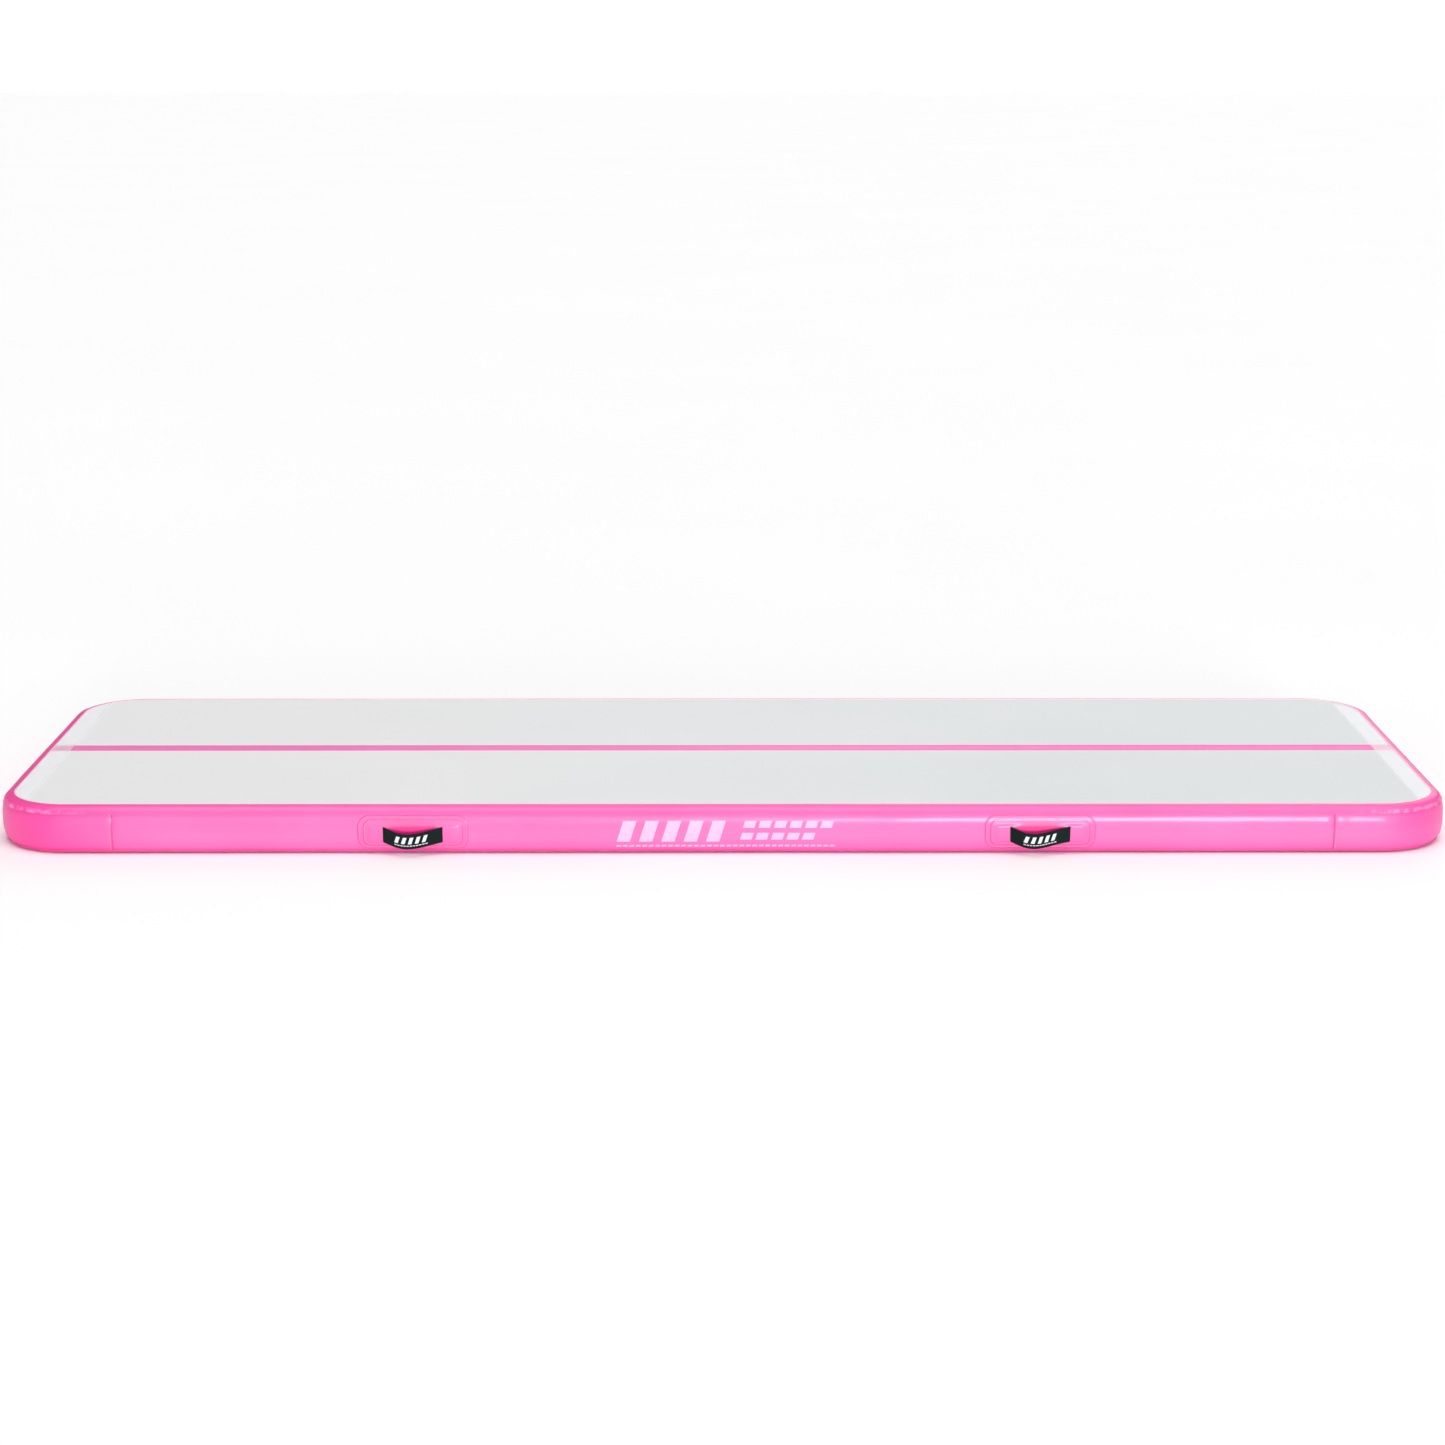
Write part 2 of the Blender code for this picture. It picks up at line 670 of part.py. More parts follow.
def build_plunger(finishes):
    """Stem, rubber seal, spring and the button that is pressed to let air out."""
    stem = revolved(
        [
            (0, -0.0365),
            (0.0120, -0.0365),
            (0.0120, -0.0345),
            (STEM_RADIUS, -0.0340),
            (STEM_RADIUS, BUTTON_TOP - 0.0022),
            (0, BUTTON_TOP - 0.0022),
        ],
        20,
    )
    named_object("valve_stem", stem, finishes["valve"])
    seal = revolved(
        [
            (STEM_RADIUS + GAP, BARREL_END - 0.0035),
            (0.0125, BARREL_END - 0.0035),
            (0.0172, BARREL_END - 0.0018),
            (0.0172, BARREL_END - GAP),
            (STEM_RADIUS + GAP, BARREL_END - GAP),
        ],
        28,
    )
    named_object("valve_seal", seal, finishes["rubber"])

    button_low = BUTTON_TOP - 0.0045
    count = 36
    outline = []
    for i in range(count):
        turn = 2 * math.pi * i / count
        radius = 0.0068 + 0.0016 * math.cos(3 * turn)
        outline.append((radius * math.sin(turn), radius * math.cos(turn)))
    button = named_object("valve_button", prism_x(outline, button_low, BUTTON_TOP), finishes["valve"])
    top = BUTTON_TOP - 0.0022 + GAP
    socket = [(0, button_low - 0.002), (STEM_RADIUS + GAP, button_low - 0.002)]
    socket += [(STEM_RADIUS + GAP, top), (0, top)]
    boolean(button, "DIFFERENCE", helper("button_socket", revolved(socket, 20)))

    wire, coil_radius, turns = 0.0005, 0.0046, 4
    low, high = -0.0200 + GAP + wire, button_low - GAP - wire
    curve = bpy.data.curves.new("valve_spring", "CURVE")
    curve.dimensions = "3D"
    curve.bevel_depth = wire
    curve.bevel_resolution = 1
    curve.use_fill_caps = True
    line = curve.splines.new("POLY")
    per_turn = 12
    line.points.add(turns * per_turn)
    for i, point in enumerate(line.points):
        turn = 2 * math.pi * i / per_turn
        x = LENGTH / 2 + low + (high - low) * i / (turns * per_turn)
        y, z = coil_radius * math.sin(turn), coil_radius * math.cos(turn)
        point.co = (x, y, VALVE_Z + z, 1)
    spring = bpy.data.objects.new("valve_spring", curve)
    bpy.context.scene.collection.objects.link(spring)
    curve.materials.append(finishes["steel"])


def build_cap(finishes):
    """The cap with its three-armed grip, the flat gasket under it and the tether that keeps it."""
    gasket_low = RECESS_FLOOR + GAP
    gasket_high = gasket_low + 0.0009
    under = gasket_high + GAP
    gasket = [(0.0166, gasket_low), (0.0205, gasket_low), (0.0205, gasket_high), (0.0166, gasket_high)]
    named_object("cap_gasket", revolved(gasket, 32), finishes["rubber"])

    cap = revolved(
        [
            (0, under + 0.0003),
            (CAP_SKIRT_RADIUS - 0.0016, under + 0.0003),
            (CAP_SKIRT_RADIUS - 0.0016, BUTTON_TOP + 0.0015),
            (CAP_SKIRT_RADIUS, BUTTON_TOP + 0.0015),
            (CAP_SKIRT_RADIUS, under),
            (CAP_RADIUS, under),
            (CAP_RADIUS, CAP_TOP - 0.0008),
            (CAP_RADIUS - 0.0008, CAP_TOP),
            (0, CAP_TOP),
        ],
        36,
    )
    cap = named_object("valve_cap", cap, finishes["valve"])
    for n in range(3):
        turn = math.radians(60 + 120 * n)
        out = Vector((math.sin(turn), math.cos(turn)))
        across = Vector((out.y, -out.x))
        tip, root = 0.0020, 0.0032
        start, stop = -out * 0.001, out * 0.0215
        outline = [start - across * root, start + across * root]
        outline += [stop + across * tip, stop - across * tip]
        arm = prism_x([tuple(p) for p in outline], CAP_TOP - 0.001, ARM_TOP)
        boolean(cap, "UNION", helper(f"cap_arm_{n}", arm))
    post = revolved([(0, CAP_TOP), (0.0030, CAP_TOP), (0.0030, POST_TOP), (0, POST_TOP)], 20)
    boolean(cap, "UNION", helper("cap_post", post))

    ring_low, ring_high = ARM_TOP + GAP, ARM_TOP + GAP + 0.0016
    swivel = [(0.0034, ring_low), (0.0062, ring_low), (0.0062, ring_high), (0.0034, ring_high)]
    named_object("tether_swivel", revolved(swivel, 24), finishes["tether"])
    build_tether(finishes, (ring_low + ring_high) / 2)


def build_tether(finishes, start_x):
    """A flexible strap from the swivel ring, looped out over the flange, to its stud on the wall patch."""
    half_width, half_thickness = 0.0022, 0.0006
    stud_radius, stud_face = 0.0032, 0.0048
    first, last = 0.0062 + GAP, ANCHOR_OUT - stud_radius - GAP
    end_x = stud_face - 0.0016
    out_way = Vector((0, math.sin(TETHER_TURN), math.cos(TETHER_TURN)))
    side_way = Vector((0, math.cos(TETHER_TURN), -math.sin(TETHER_TURN)))
    middle = Vector((LENGTH / 2, 0, VALVE_Z))

    count = 12
    path = []
    for i in range(count + 1):
        share = i / count
        x = start_x + (end_x - start_x) * share + TETHER_SLACK * math.sin(math.pi * share)
        path.append(Vector((first + (last - first) * share, x)))
    points, faces = [], []
    for i, place in enumerate(path):
        along = (path[min(i + 1, count)] - path[max(i - 1, 0)]).normalized()
        if i in (0, count):
            along = Vector((1, 0))
        across = Vector((-along.y, along.x)) * half_thickness
        for sideways, face in ((-1, -1), (1, -1), (1, 1), (-1, 1)):
            out, x = place + across * face
            point = middle + out_way * out + side_way * (sideways * half_width)
            points.append(point + Vector((x, 0, 0)))
    for i in range(count):
        a, b = 4 * i, 4 * (i + 1)
        faces += [(a + k, a + (k + 1) % 4, b + (k + 1) % 4, b + k) for k in range(4)]
    faces += [(3, 2, 1, 0), tuple(4 * count + k for k in range(4))]
    named_object("tether_strap", mesh_of(points, faces), finishes["tether"])

    outline = []
    for i in range(16):
        turn = 2 * math.pi * i / 16
        spot = out_way * (ANCHOR_OUT + stud_radius * math.cos(turn))
        spot += side_way * (stud_radius * math.sin(turn))
        outline.append((spot.y, spot.z))
    stud = named_object("tether_anchor", prism_x(outline, -0.010, stud_face), finishes["tether"])
    rows = rows_of_patch(*VALVE_PATCH[1:], 0, ())
    boolean(stud, "DIFFERENCE", wall_cutter("wall_under_stud", -0.02, 2 * GAP + PATCH, rows))


# ---------------------------------------------------------------- the mat


def build():
    for thing in list(bpy.data.objects):
        bpy.data.objects.remove(thing)
    finishes = {
        "deck": material("deck_grey", (0.776, 0.776, 0.787), 0.55),
        "base": material("base_grey", (0.60, 0.60, 0.62), 0.7),
        "pink": material("side_pink", (0.93, 0.216, 0.539), 0.35),
        "film": material("clear_film", (0.82, 0.83, 0.86), 0.3, alpha=0.45),
        "yarn": material("woven_yarn", (0.80, 0.80, 0.78), 0.9),
        "webbing": material("black_webbing", (0.006, 0.010, 0.011), 0.85),
        "valve": material("valve_grey", (0.38, 0.48, 0.51), 0.4),
        "rim": material("valve_pale", (0.68, 0.72, 0.74), 0.4),
        "rubber": material("seal_rubber", (0.02, 0.02, 0.02), 0.8),
        "steel": material("spring_steel", (0.6, 0.6, 0.6), 0.3, metallic=1.0),
        "tether": material("tether_plastic", (0.72, 0.62, 0.68), 0.45),
    }
    build_deck(finishes)
    build_base(finishes)
    build_core(finishes)
    build_side_walls(finishes)
    build_seam_backings(finishes)
    build_seam_tapes(finishes)
    build_handles(finishes)
    build_valve_body(finishes)
    build_plunger(finishes)
    build_cap(finishes)


build()
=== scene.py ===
import json
import math

import bmesh
import bpy
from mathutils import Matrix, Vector, noise


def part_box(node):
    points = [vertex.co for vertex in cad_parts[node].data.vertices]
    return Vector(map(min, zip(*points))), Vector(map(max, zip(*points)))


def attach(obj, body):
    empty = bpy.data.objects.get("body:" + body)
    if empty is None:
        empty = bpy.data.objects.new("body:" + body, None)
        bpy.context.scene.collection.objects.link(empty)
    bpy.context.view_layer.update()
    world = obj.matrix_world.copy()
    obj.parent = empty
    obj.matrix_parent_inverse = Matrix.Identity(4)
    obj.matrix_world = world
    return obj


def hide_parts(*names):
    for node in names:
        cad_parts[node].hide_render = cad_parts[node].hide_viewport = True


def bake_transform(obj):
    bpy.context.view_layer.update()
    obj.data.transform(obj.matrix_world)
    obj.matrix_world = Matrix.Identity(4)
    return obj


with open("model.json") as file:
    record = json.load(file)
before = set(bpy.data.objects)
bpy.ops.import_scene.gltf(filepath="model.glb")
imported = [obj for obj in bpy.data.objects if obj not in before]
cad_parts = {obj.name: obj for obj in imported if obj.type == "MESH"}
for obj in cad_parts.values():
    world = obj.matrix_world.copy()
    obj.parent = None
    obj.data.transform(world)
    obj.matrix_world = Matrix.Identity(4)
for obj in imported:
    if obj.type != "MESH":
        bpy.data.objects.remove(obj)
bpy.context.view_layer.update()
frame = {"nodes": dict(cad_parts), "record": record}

# ---------------------------------------------------------------- sizes

base_low, base_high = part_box("base_sheet")
deck_low, deck_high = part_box("deck_front")
end_low, end_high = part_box("side_wall_right")
front_low, front_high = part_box("side_wall_front")

GAP = 0.0003  # clearance that the frame leaves round each sheet
SHEET = base_high.z
SKIN_DEPTH = SHEET + GAP  # the wall's outer face lies this far under the tapes' outer face
EDGE_X = base_high.x + GAP
EDGE_Y = base_high.y + GAP
EDGE_RADIUS = 0.125
INNER_X, INNER_Y = EDGE_X - EDGE_RADIUS, EDGE_Y - EDGE_RADIUS  # middles of the corner turns
TOP = deck_high.z
MID = TOP / 2
BULGE = end_high.x + SKIN_DEPTH - EDGE_X
BULGE_POWER = 2.8
LIP = 0.018
SEAM_X = front_high.x + GAP / 2
TOP_TAPE_EDGE = 35  # degrees up the wall's section
BOTTOM_TAPE_EDGE = -52
PATH_STEP = 0.007

PANEL_INSET = 0.0002  # deck and base panels stop this far inside the mat's edge
PANEL_Y = EDGE_Y - PANEL_INSET
DECK = SHEET - 0.0004
LINE_JOINT = 0.00005
FILM_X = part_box("end_film_right")[0].x
LINE_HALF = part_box("centre_line")[1].y

STRAP_DROP = 0.0063
STRAP_WIDTH = 0.0310
STRAP_THICKNESS = 0.0014
STRAP_HALF_SPAN = 0.0605
STRAP_TAIL = 0.026
STRAP_BOW = 0.025
STRAP_DROOP = math.radians(19.5)
PATCH = 0.0008
PATCH_DROP = 0.003
BASE_PATCH = (0.113, 0.0355, 0.024)  # half length, half height, corner radius
COVER_PATCH = (0.102, 0.0275, 0.017)
BASE_LIFT = 0.0001
COVER_LIFT = BASE_LIFT + PATCH
STRAP_LIFT = 0.0018  # middle of the strap where it lies between the patches
LEAVE_LIFT = 0.0048  # middle of the strap where it leaves its slot

VALVE_PATCH = (0.064, 0.0325, 0.024)
VALVE_X = EDGE_X + BULGE
VALVE_Z = MID
TETHER_TURN = math.radians(-62)  # the tether leaves the cap this far round from straight up
TETHER_WAY = Vector((0, math.sin(TETHER_TURN), math.cos(TETHER_TURN)))
STUD_OUT = 0.0370


# ---------------------------------------------------------------- node helpers


def node(tree, kind, inputs=(), **settings):
    """A node with its settings and its inputs: a socket is linked, and anything else is set."""
    made = tree.nodes.new(kind)
    for key, value in settings.items():
        setattr(made, key, value)
    for key, value in dict(inputs).items():
        if isinstance(value, bpy.types.NodeSocket):
            tree.links.new(value, made.inputs[key])
        else:
            made.inputs[key].default_value = value
    return made


def maths(tree, operation, *values):
    return node(tree, "ShaderNodeMath", enumerate(values), operation=operation).outputs[0]


def axes(tree, vector):
    """A vector's X, Y and Z."""
    return node(tree, "ShaderNodeSeparateXYZ", {"Vector": vector}).outputs


def ranged(tree, value, start, stop, low=0.0, high=1.0, eased=False):
    """How far a value lies from start to stop, as a number from low to high."""
    inputs = {"Value": value, "From Min": start, "From Max": stop, "To Min": low, "To Max": high}
    kind = "SMOOTHSTEP" if eased else "LINEAR"
    return node(tree, "ShaderNodeMapRange", inputs, interpolation_type=kind).outputs["Result"]


def ramp(tree, factor, stops):
    """Colours along a factor: stops are (position, (red, green, blue))."""
    made = node(tree, "ShaderNodeValToRGB", {"Fac": factor})
    elements = made.color_ramp.elements
    while len(elements) < len(stops):
        elements.new(0.5)
    for element, (position, colour) in zip(elements, stops):
        element.position = position
        element.color = (*colour, 1)
    return made.outputs["Color"]


def noise_at(tree, place, scale, detail=2.0, roughness=0.5):
    inputs = {"Vector": place, "Scale": scale, "Detail": detail, "Roughness": roughness}
    return node(tree, "ShaderNodeTexNoise", inputs).outputs["Fac"]


def between(tree, factor, low, high):
    """A factor from 0 to 1 as a number from low to high."""
    return ranged(tree, factor, 0.0, 1.0, low, high)


def bumped(tree, height, distance, strength=1.0, under=None):
    inputs = {"Height": height, "Distance": distance, "Strength": strength}
    if under is not None:
        inputs["Normal"] = under
    return node(tree, "ShaderNodeBump", inputs).outputs["Normal"]


def new_material(name):
    made = bpy.data.materials.new(name)
    made.use_nodes = True
    tree = made.node_tree
    tree.nodes.clear()
    shader = node(tree, "ShaderNodeBsdfPrincipled")
    out = node(tree, "ShaderNodeOutputMaterial", {"Surface": shader.outputs["BSDF"]})
    out.location.x = 300
    place = node(tree, "ShaderNodeTexCoord").outputs["Object"]
    return made, tree, shader, place


def plug(tree, shader, **inputs):
    """Links or sets the shader's inputs; Base_Color stands for Base Color."""
    for key, value in inputs.items():
        socket = shader.inputs[key.replace("_", " ")]
        if isinstance(value, bpy.types.NodeSocket):
            tree.links.new(value, socket)
        else:
            socket.default_value = value


# ---------------------------------------------------------------- materials


def rim_distance(tree, place, half_length, half_height, radius):
    """How far inside a rounded rectangle a point lies, in metres."""
    split = axes(tree, place)
    beyond = []
    for axis, half in (("X", half_length), ("Y", half_height)):
        away = maths(tree, "SUBTRACT", maths(tree, "ABSOLUTE", split[axis]), half - radius)
        beyond.append(maths(tree, "POWER", maths(tree, "MAXIMUM", away, 0.0), 2.0))
    reach = maths(tree, "SQRT", maths(tree, "ADD", *beyond))
    return maths(tree, "SUBTRACT", radius, reach)


def band(tree, value, low, high, soft):
    """1 where a value lies between two limits, with soft ends."""
    rise = ranged(tree, value, low - soft, low + soft)
    fall = ranged(tree, value, high - soft, high + soft, 1.0, 0.0)
    return maths(tree, "MULTIPLY", rise, fall)


def blended(tree, factor, under, over):
    """One colour laid over another by a factor."""
    made = node(tree, "ShaderNodeMix", data_type="RGBA")
    for index, value in ((0, factor), (6, under), (7, over)):
        if isinstance(value, bpy.types.NodeSocket):
            tree.links.new(value, made.inputs[index])
        else:
            made.inputs[index].default_value = (*value, 1) if index else value
    return made.outputs[2]


def pvc_sheet(name, dull, full, roughness, grain, marks=None):
    """Soft PVC sheet: a slow drift of colour, fine calendered grain and patchy gloss.
    marks adds the piece's own weld lines and tones, with their painted shade and painted highlight: it gives
    (colour, height, metres high)."""
    made, tree, shader, place = new_material(name)
    drift = noise_at(tree, place, 5.0, 3.0)
    speck = maths(tree, "SUBTRACT", noise_at(tree, place, 420.0, 2.0), 0.5)
    tone = maths(tree, "MULTIPLY_ADD", speck, 0.3, drift)
    colour = ramp(tree, tone, [(0.25, dull), (0.75, full)])
    cells = node(tree, "ShaderNodeTexVoronoi", {"Vector": place, "Scale": 900.0}, feature="SMOOTH_F1")
    surface = bumped(tree, cells.outputs["Distance"], grain)
    surface = bumped(tree, noise_at(tree, place, 55.0, 3.0), 0.0006, 0.35, surface)
    if marks:
        colour, height, high = marks(tree, place, colour)
        surface = bumped(tree, height, high, 1.0, surface)
    plug(
        tree,
        shader,
        Base_Color=colour,
        Roughness=between(tree, noise_at(tree, place, 14.0, 4.0), roughness - 0.05, roughness + 0.07),
        Normal=surface,
        Specular_IOR_Level=0.65,
        Coat_Weight=0.25,
        Coat_Roughness=0.18,
    )
    return made


def line_tone(tree, place, colour):
    """The centre line's pink, deeper towards the valve end."""
    share = ranged(tree, axes(tree, place)["X"], -0.3, 1.0, eased=True)
    worn = noise_at(tree, place, 60.0, 3.0)
    return blended(tree, share, colour, (0.86, 0.050, 0.40)), worn, 0.0001


def painted_end_shade(tree, place, colour):
    """Painted shade: the pink grows deeper towards the ends, where the walls turn away from the front light,
    most of all at the left one.
    """
    along = axes(tree, place)["X"]
    left = ranged(tree, along, -1.10, -1.44, eased=True)
    right = ranged(tree, along, 1.28, 1.47, high=0.5, eased=True)
    return blended(tree, maths(tree, "ADD", left, right), colour, (0.84, 0.040, 0.30))


def butt_seams_and_painted_light(tree, place, colour):
    """The welded joints where the end walls meet the side walls, with painted shade and painted highlight at
    them; a painted highlight band at mid-height; and painted shade towards the ends.
    """
    split = axes(tree, place)
    # Painted highlight: a paler band at mid-height, where the front light falls brightest.
    middle = band(tree, split["Z"], 0.014, 0.052, 0.012)
    colour = blended(tree, maths(tree, "MULTIPLY", middle, 0.45), colour, (0.84, 0.165, 0.445))
    # Painted shade towards the ends.
    colour = painted_end_shade(tree, place, colour)
    off = maths(tree, "SUBTRACT", maths(tree, "ABSOLUTE", split["X"]), SEAM_X)
    line = band(tree, off, -0.0014, 0.0014, 0.0006)
    pale = band(tree, off, 0.0032, 0.0050, 0.0008)
    # A darker line along the joint: partly the weld's own colour, partly painted shade in its groove. The paler
    # strips either side are painted highlight on the low ridges there.
    colour = blended(tree, maths(tree, "MULTIPLY", line, 0.7), colour, (0.55, 0.035, 0.22))
    colour = blended(tree, maths(tree, "MULTIPLY", pale, 0.25), colour, (0.95, 0.45, 0.70))
    return colour, maths(tree, "SUBTRACT", pale, line), 0.0006


def tape_edges(tree, place, colour):
    """The pale line of weld squeezed out along the tape's edge on the deck, and the creased hem round the
    corners, darkened with painted shade, with painted glints on its puckers just above it."""
    # Painted shade towards the ends.
    colour = painted_end_shade(tree, place, colour)
    inside = rim_distance(tree, place, EDGE_X, EDGE_Y, EDGE_RADIUS)
    spot = axes(tree, place)
    height = spot["Z"]
    top = maths(tree, "GREATER_THAN", height, TOP - 0.01)
    line = maths(tree, "MULTIPLY", band(tree, inside, -0.0026, 0.01, 0.0005), top)
    colour = blended(tree, maths(tree, "MULTIPLY", line, 0.8), colour, (0.95, 0.72, 0.84))
    hem = wall_point(TOP_TAPE_EDGE, 0).y
    hem_crease_shade = band(tree, height, hem - 0.002, hem + 0.0018, 0.0006)
    # Painted glints where the puckers above the hem catch the light.
    pucker_glints = ranged(tree, noise_at(tree, place, 75.0, 3.0, 0.6), 0.42, 0.64)
    pucker_glints = maths(tree, "MULTIPLY", pucker_glints, band(tree, height, hem + 0.001, hem + 0.008, 0.0015))
    for axis, start in (("X", INNER_X), ("Y", INNER_Y)):
        near = ranged(tree, maths(tree, "ABSOLUTE", spot[axis]), start - 0.06, start + 0.02)
        hem_crease_shade = maths(tree, "MULTIPLY", hem_crease_shade, near)
        pucker_glints = maths(tree, "MULTIPLY", pucker_glints, near)
    # Painted shade in the hem's crease, and painted glints on the puckers just above it.
    colour = blended(tree, maths(tree, "MULTIPLY", hem_crease_shade, 0.6), colour, (0.62, 0.03, 0.22))
    colour = blended(tree, maths(tree, "MULTIPLY", pucker_glints, 0.6), colour, (0.93, 0.36, 0.64))
    return colour, maths(tree, "SUBTRACT", line, hem_crease_shade), 0.0003


def weld_rim(shape, with_strap_shadow=False):
    """A patch's pressed weld: a groove just inside its outline, with a low ridge inside that, shown also by
    painted shade and painted highlight. With the strap's shadow, the sheet takes a deep pink painted shadow
    where the bowed strap shades it."""

    def marks(tree, place, colour):
        flat = node(tree, "ShaderNodeUVMap", uv_map="patch").outputs["UV"]
        inside = rim_distance(tree, flat, *shape)
        edge = band(tree, inside, -0.01, 0.0010, 0.0005)
        ridge = band(tree, inside, 0.0026, 0.0044, 0.0010)
        if with_strap_shadow:
            # Painted shadow of the bowed strap, in deep pink on the sheet behind it.
            strap_shadow = rim_distance(tree, flat, STRAP_HALF_SPAN - 0.003, 0.0165, 0.0160)
            colour = blended(tree, ranged(tree, strap_shadow, 0.0, 0.006), colour, (0.97, 0.012, 0.28))
        # Painted shade in the groove and a painted highlight on the ridge.
        colour = blended(tree, maths(tree, "MULTIPLY", edge, 0.55), colour, (0.60, 0.04, 0.25))
        colour = blended(tree, maths(tree, "MULTIPLY", ridge, 0.20), colour, (0.95, 0.42, 0.68))
        return colour, maths(tree, "SUBTRACT", ridge, edge), 0.0007

    return marks


def deck_sheet(name, dull, full):
    """Matt deck laminate: leather grain over the faint rows of the drop-stitch cloth beneath, with a paler
    selvedge along the outline and beside the centre line. Painted light: the grey is lighter at the left end
    than at the right one, and a painted lighter band under the film makes up for the film's shadow."""
    made, tree, shader, place = new_material(name)
    split = axes(tree, place)
    # Painted light: the grey runs from full at the left end to dull, cooler grey at the right one, as the light
    # falls.
    along = ranged(tree, split["X"], -1.2, 1.2)
    drift = maths(tree, "SUBTRACT", noise_at(tree, place, 2.2, 2.0), 0.5)
    colour = ramp(tree, maths(tree, "MULTIPLY_ADD", drift, 0.5, along), [(0.1, full), (0.9, dull)])
    inside = rim_distance(tree, place, EDGE_X, EDGE_Y, EDGE_RADIUS)
    rim = band(tree, inside, -0.01, 0.0022, 0.0006)
    off_line = maths(tree, "SUBTRACT", maths(tree, "ABSOLUTE", split["Y"]), LINE_HALF)
    selvedge = maths(tree, "MAXIMUM", rim, band(tree, off_line, 0.0, 0.0030, 0.0006))
    colour = blended(tree, maths(tree, "MULTIPLY", selvedge, 0.8), colour, (0.93, 0.92, 0.93))
    # Painted light: a lighter band under the film, making up for the shade the film casts on the deck,
    # strongest at the left end.
    kept = ranged(tree, maths(tree, "ABSOLUTE", split["X"]), FILM_X - 0.006, FILM_X + 0.006)
    kept = maths(tree, "MULTIPLY", kept, maths(tree, "MULTIPLY_ADD", along, -0.55, 0.95))
    colour = blended(tree, kept, colour, (0.95, 0.95, 0.96))
    rows = maths(tree, "SINE", maths(tree, "MULTIPLY", split["Y"], 2 * math.pi / 0.0042))
    picks = maths(tree, "SINE", maths(tree, "MULTIPLY", split["X"], 2 * math.pi / 0.0036))
    quilt = bumped(tree, maths(tree, "MULTIPLY", rows, picks), 0.00004, 0.5)
    cells = node(tree, "ShaderNodeTexVoronoi", {"Vector": place, "Scale": 700.0}, feature="SMOOTH_F1")
    grain = bumped(tree, cells.outputs["Distance"], 0.00012, 0.6, quilt)
    worn = noise_at(tree, place, 26.0, 4.0)
    plug(
        tree,
        shader,
        Base_Color=colour,
        Roughness=between(tree, worn, 0.50, 0.64),
        Normal=grain,
        Specular_IOR_Level=0.35,
    )
    return made


def clear_film():
    """Milky film, thin enough to show the deck and the line through it."""
    made, tree, shader, place = new_material("milky_film")
    haze = noise_at(tree, place, 30.0, 3.0)
    plug(
        tree,
        shader,
        Base_Color=ramp(tree, haze, [(0.3, (0.97, 0.97, 1.0)), (0.7, (1.0, 1.0, 1.0))]),
        Roughness=between(tree, noise_at(tree, place, 240.0, 2.0), 0.26, 0.36),
        Normal=bumped(tree, noise_at(tree, place, 80.0, 2.0), 0.0002, 0.4),
        Alpha=0.45,
    )
    return made


def film_underside():
    """The film's back, wetted clear by its adhesive."""
    made, tree, shader, place = new_material("film_underside")
    wetted = noise_at(tree, place, 40.0, 2.0)
    plug(
        tree,
        shader,
        Base_Color=ramp(tree, wetted, [(0.3, (0.95, 0.95, 1.0)), (0.7, (1.0, 1.0, 1.0))]),
        Roughness=between(tree, wetted, 0.2, 0.3),
        Alpha=0.0,
    )
    return made


def webbing(name, dark, light):
    """Woven webbing: warp ribs and weft picks follow the strap's own map, in metres."""
    made, tree, shader, _ = new_material(name)
    strap = node(tree, "ShaderNodeUVMap", uv_map="strap").outputs["UV"]
    split = axes(tree, strap)
    ribs = maths(tree, "SINE", maths(tree, "MULTIPLY", split["Y"], 2 * math.pi / 0.00125))
    picks = maths(tree, "SINE", maths(tree, "MULTIPLY", split["X"], 2 * math.pi / 0.0009))
    weave = maths(tree, "MULTIPLY_ADD", maths(tree, "MULTIPLY", ribs, picks), 0.5, 0.5)
    fibre = noise_at(tree, strap, 5200.0, 2.0)
    tone = maths(tree, "MULTIPLY_ADD", fibre, 0.5, maths(tree, "MULTIPLY", weave, 0.5))
    plug(
        tree,
        shader,
        Base_Color=ramp(tree, tone, [(0.25, dark), (0.8, light)]),
        Roughness=between(tree, fibre, 0.62, 0.86),
        Normal=bumped(tree, weave, 0.00012, 0.8, bumped(tree, fibre, 0.00005, 0.5)),
        Specular_IOR_Level=0.12,
        Sheen_Weight=0.02,
        Sheen_Roughness=0.4,
    )
    return made


def ink():
    """Pale pink print: opaque ink with a dry, slightly broken surface."""
    made, tree, shader, place = new_material("pale_print")
    patchy = noise_at(tree, place, 160.0, 4.0)
    plug(
        tree,
        shader,
        Base_Color=ramp(tree, patchy, [(0.35, (0.82, 0.41, 0.62)), (0.6, (0.87, 0.47, 0.67))]),
        Roughness=between(tree, patchy, 0.42, 0.6),
        Normal=bumped(tree, patchy, 0.00006, 0.5),
    )
    return made


def moulded(name, dull, full, roughness, translucent=0.0):
    """Injection-moulded plastic: faint flow marks and a fine spark-eroded texture."""
    made, tree, shader, place = new_material(name)
    flow = noise_at(tree, place, 70.0, 3.0)
    pits = noise_at(tree, place, 2600.0, 2.0)
    plug(
        tree,
        shader,
        Base_Color=ramp(tree, flow, [(0.3, dull), (0.7, full)]),
        Roughness=between(tree, noise_at(tree, place, 300.0, 3.0), roughness - 0.06, roughness + 0.08),
        Normal=bumped(tree, pits, 0.00004, 0.5),
        Subsurface_Weight=translucent,
        Subsurface_Scale=0.002,
    )
    return made


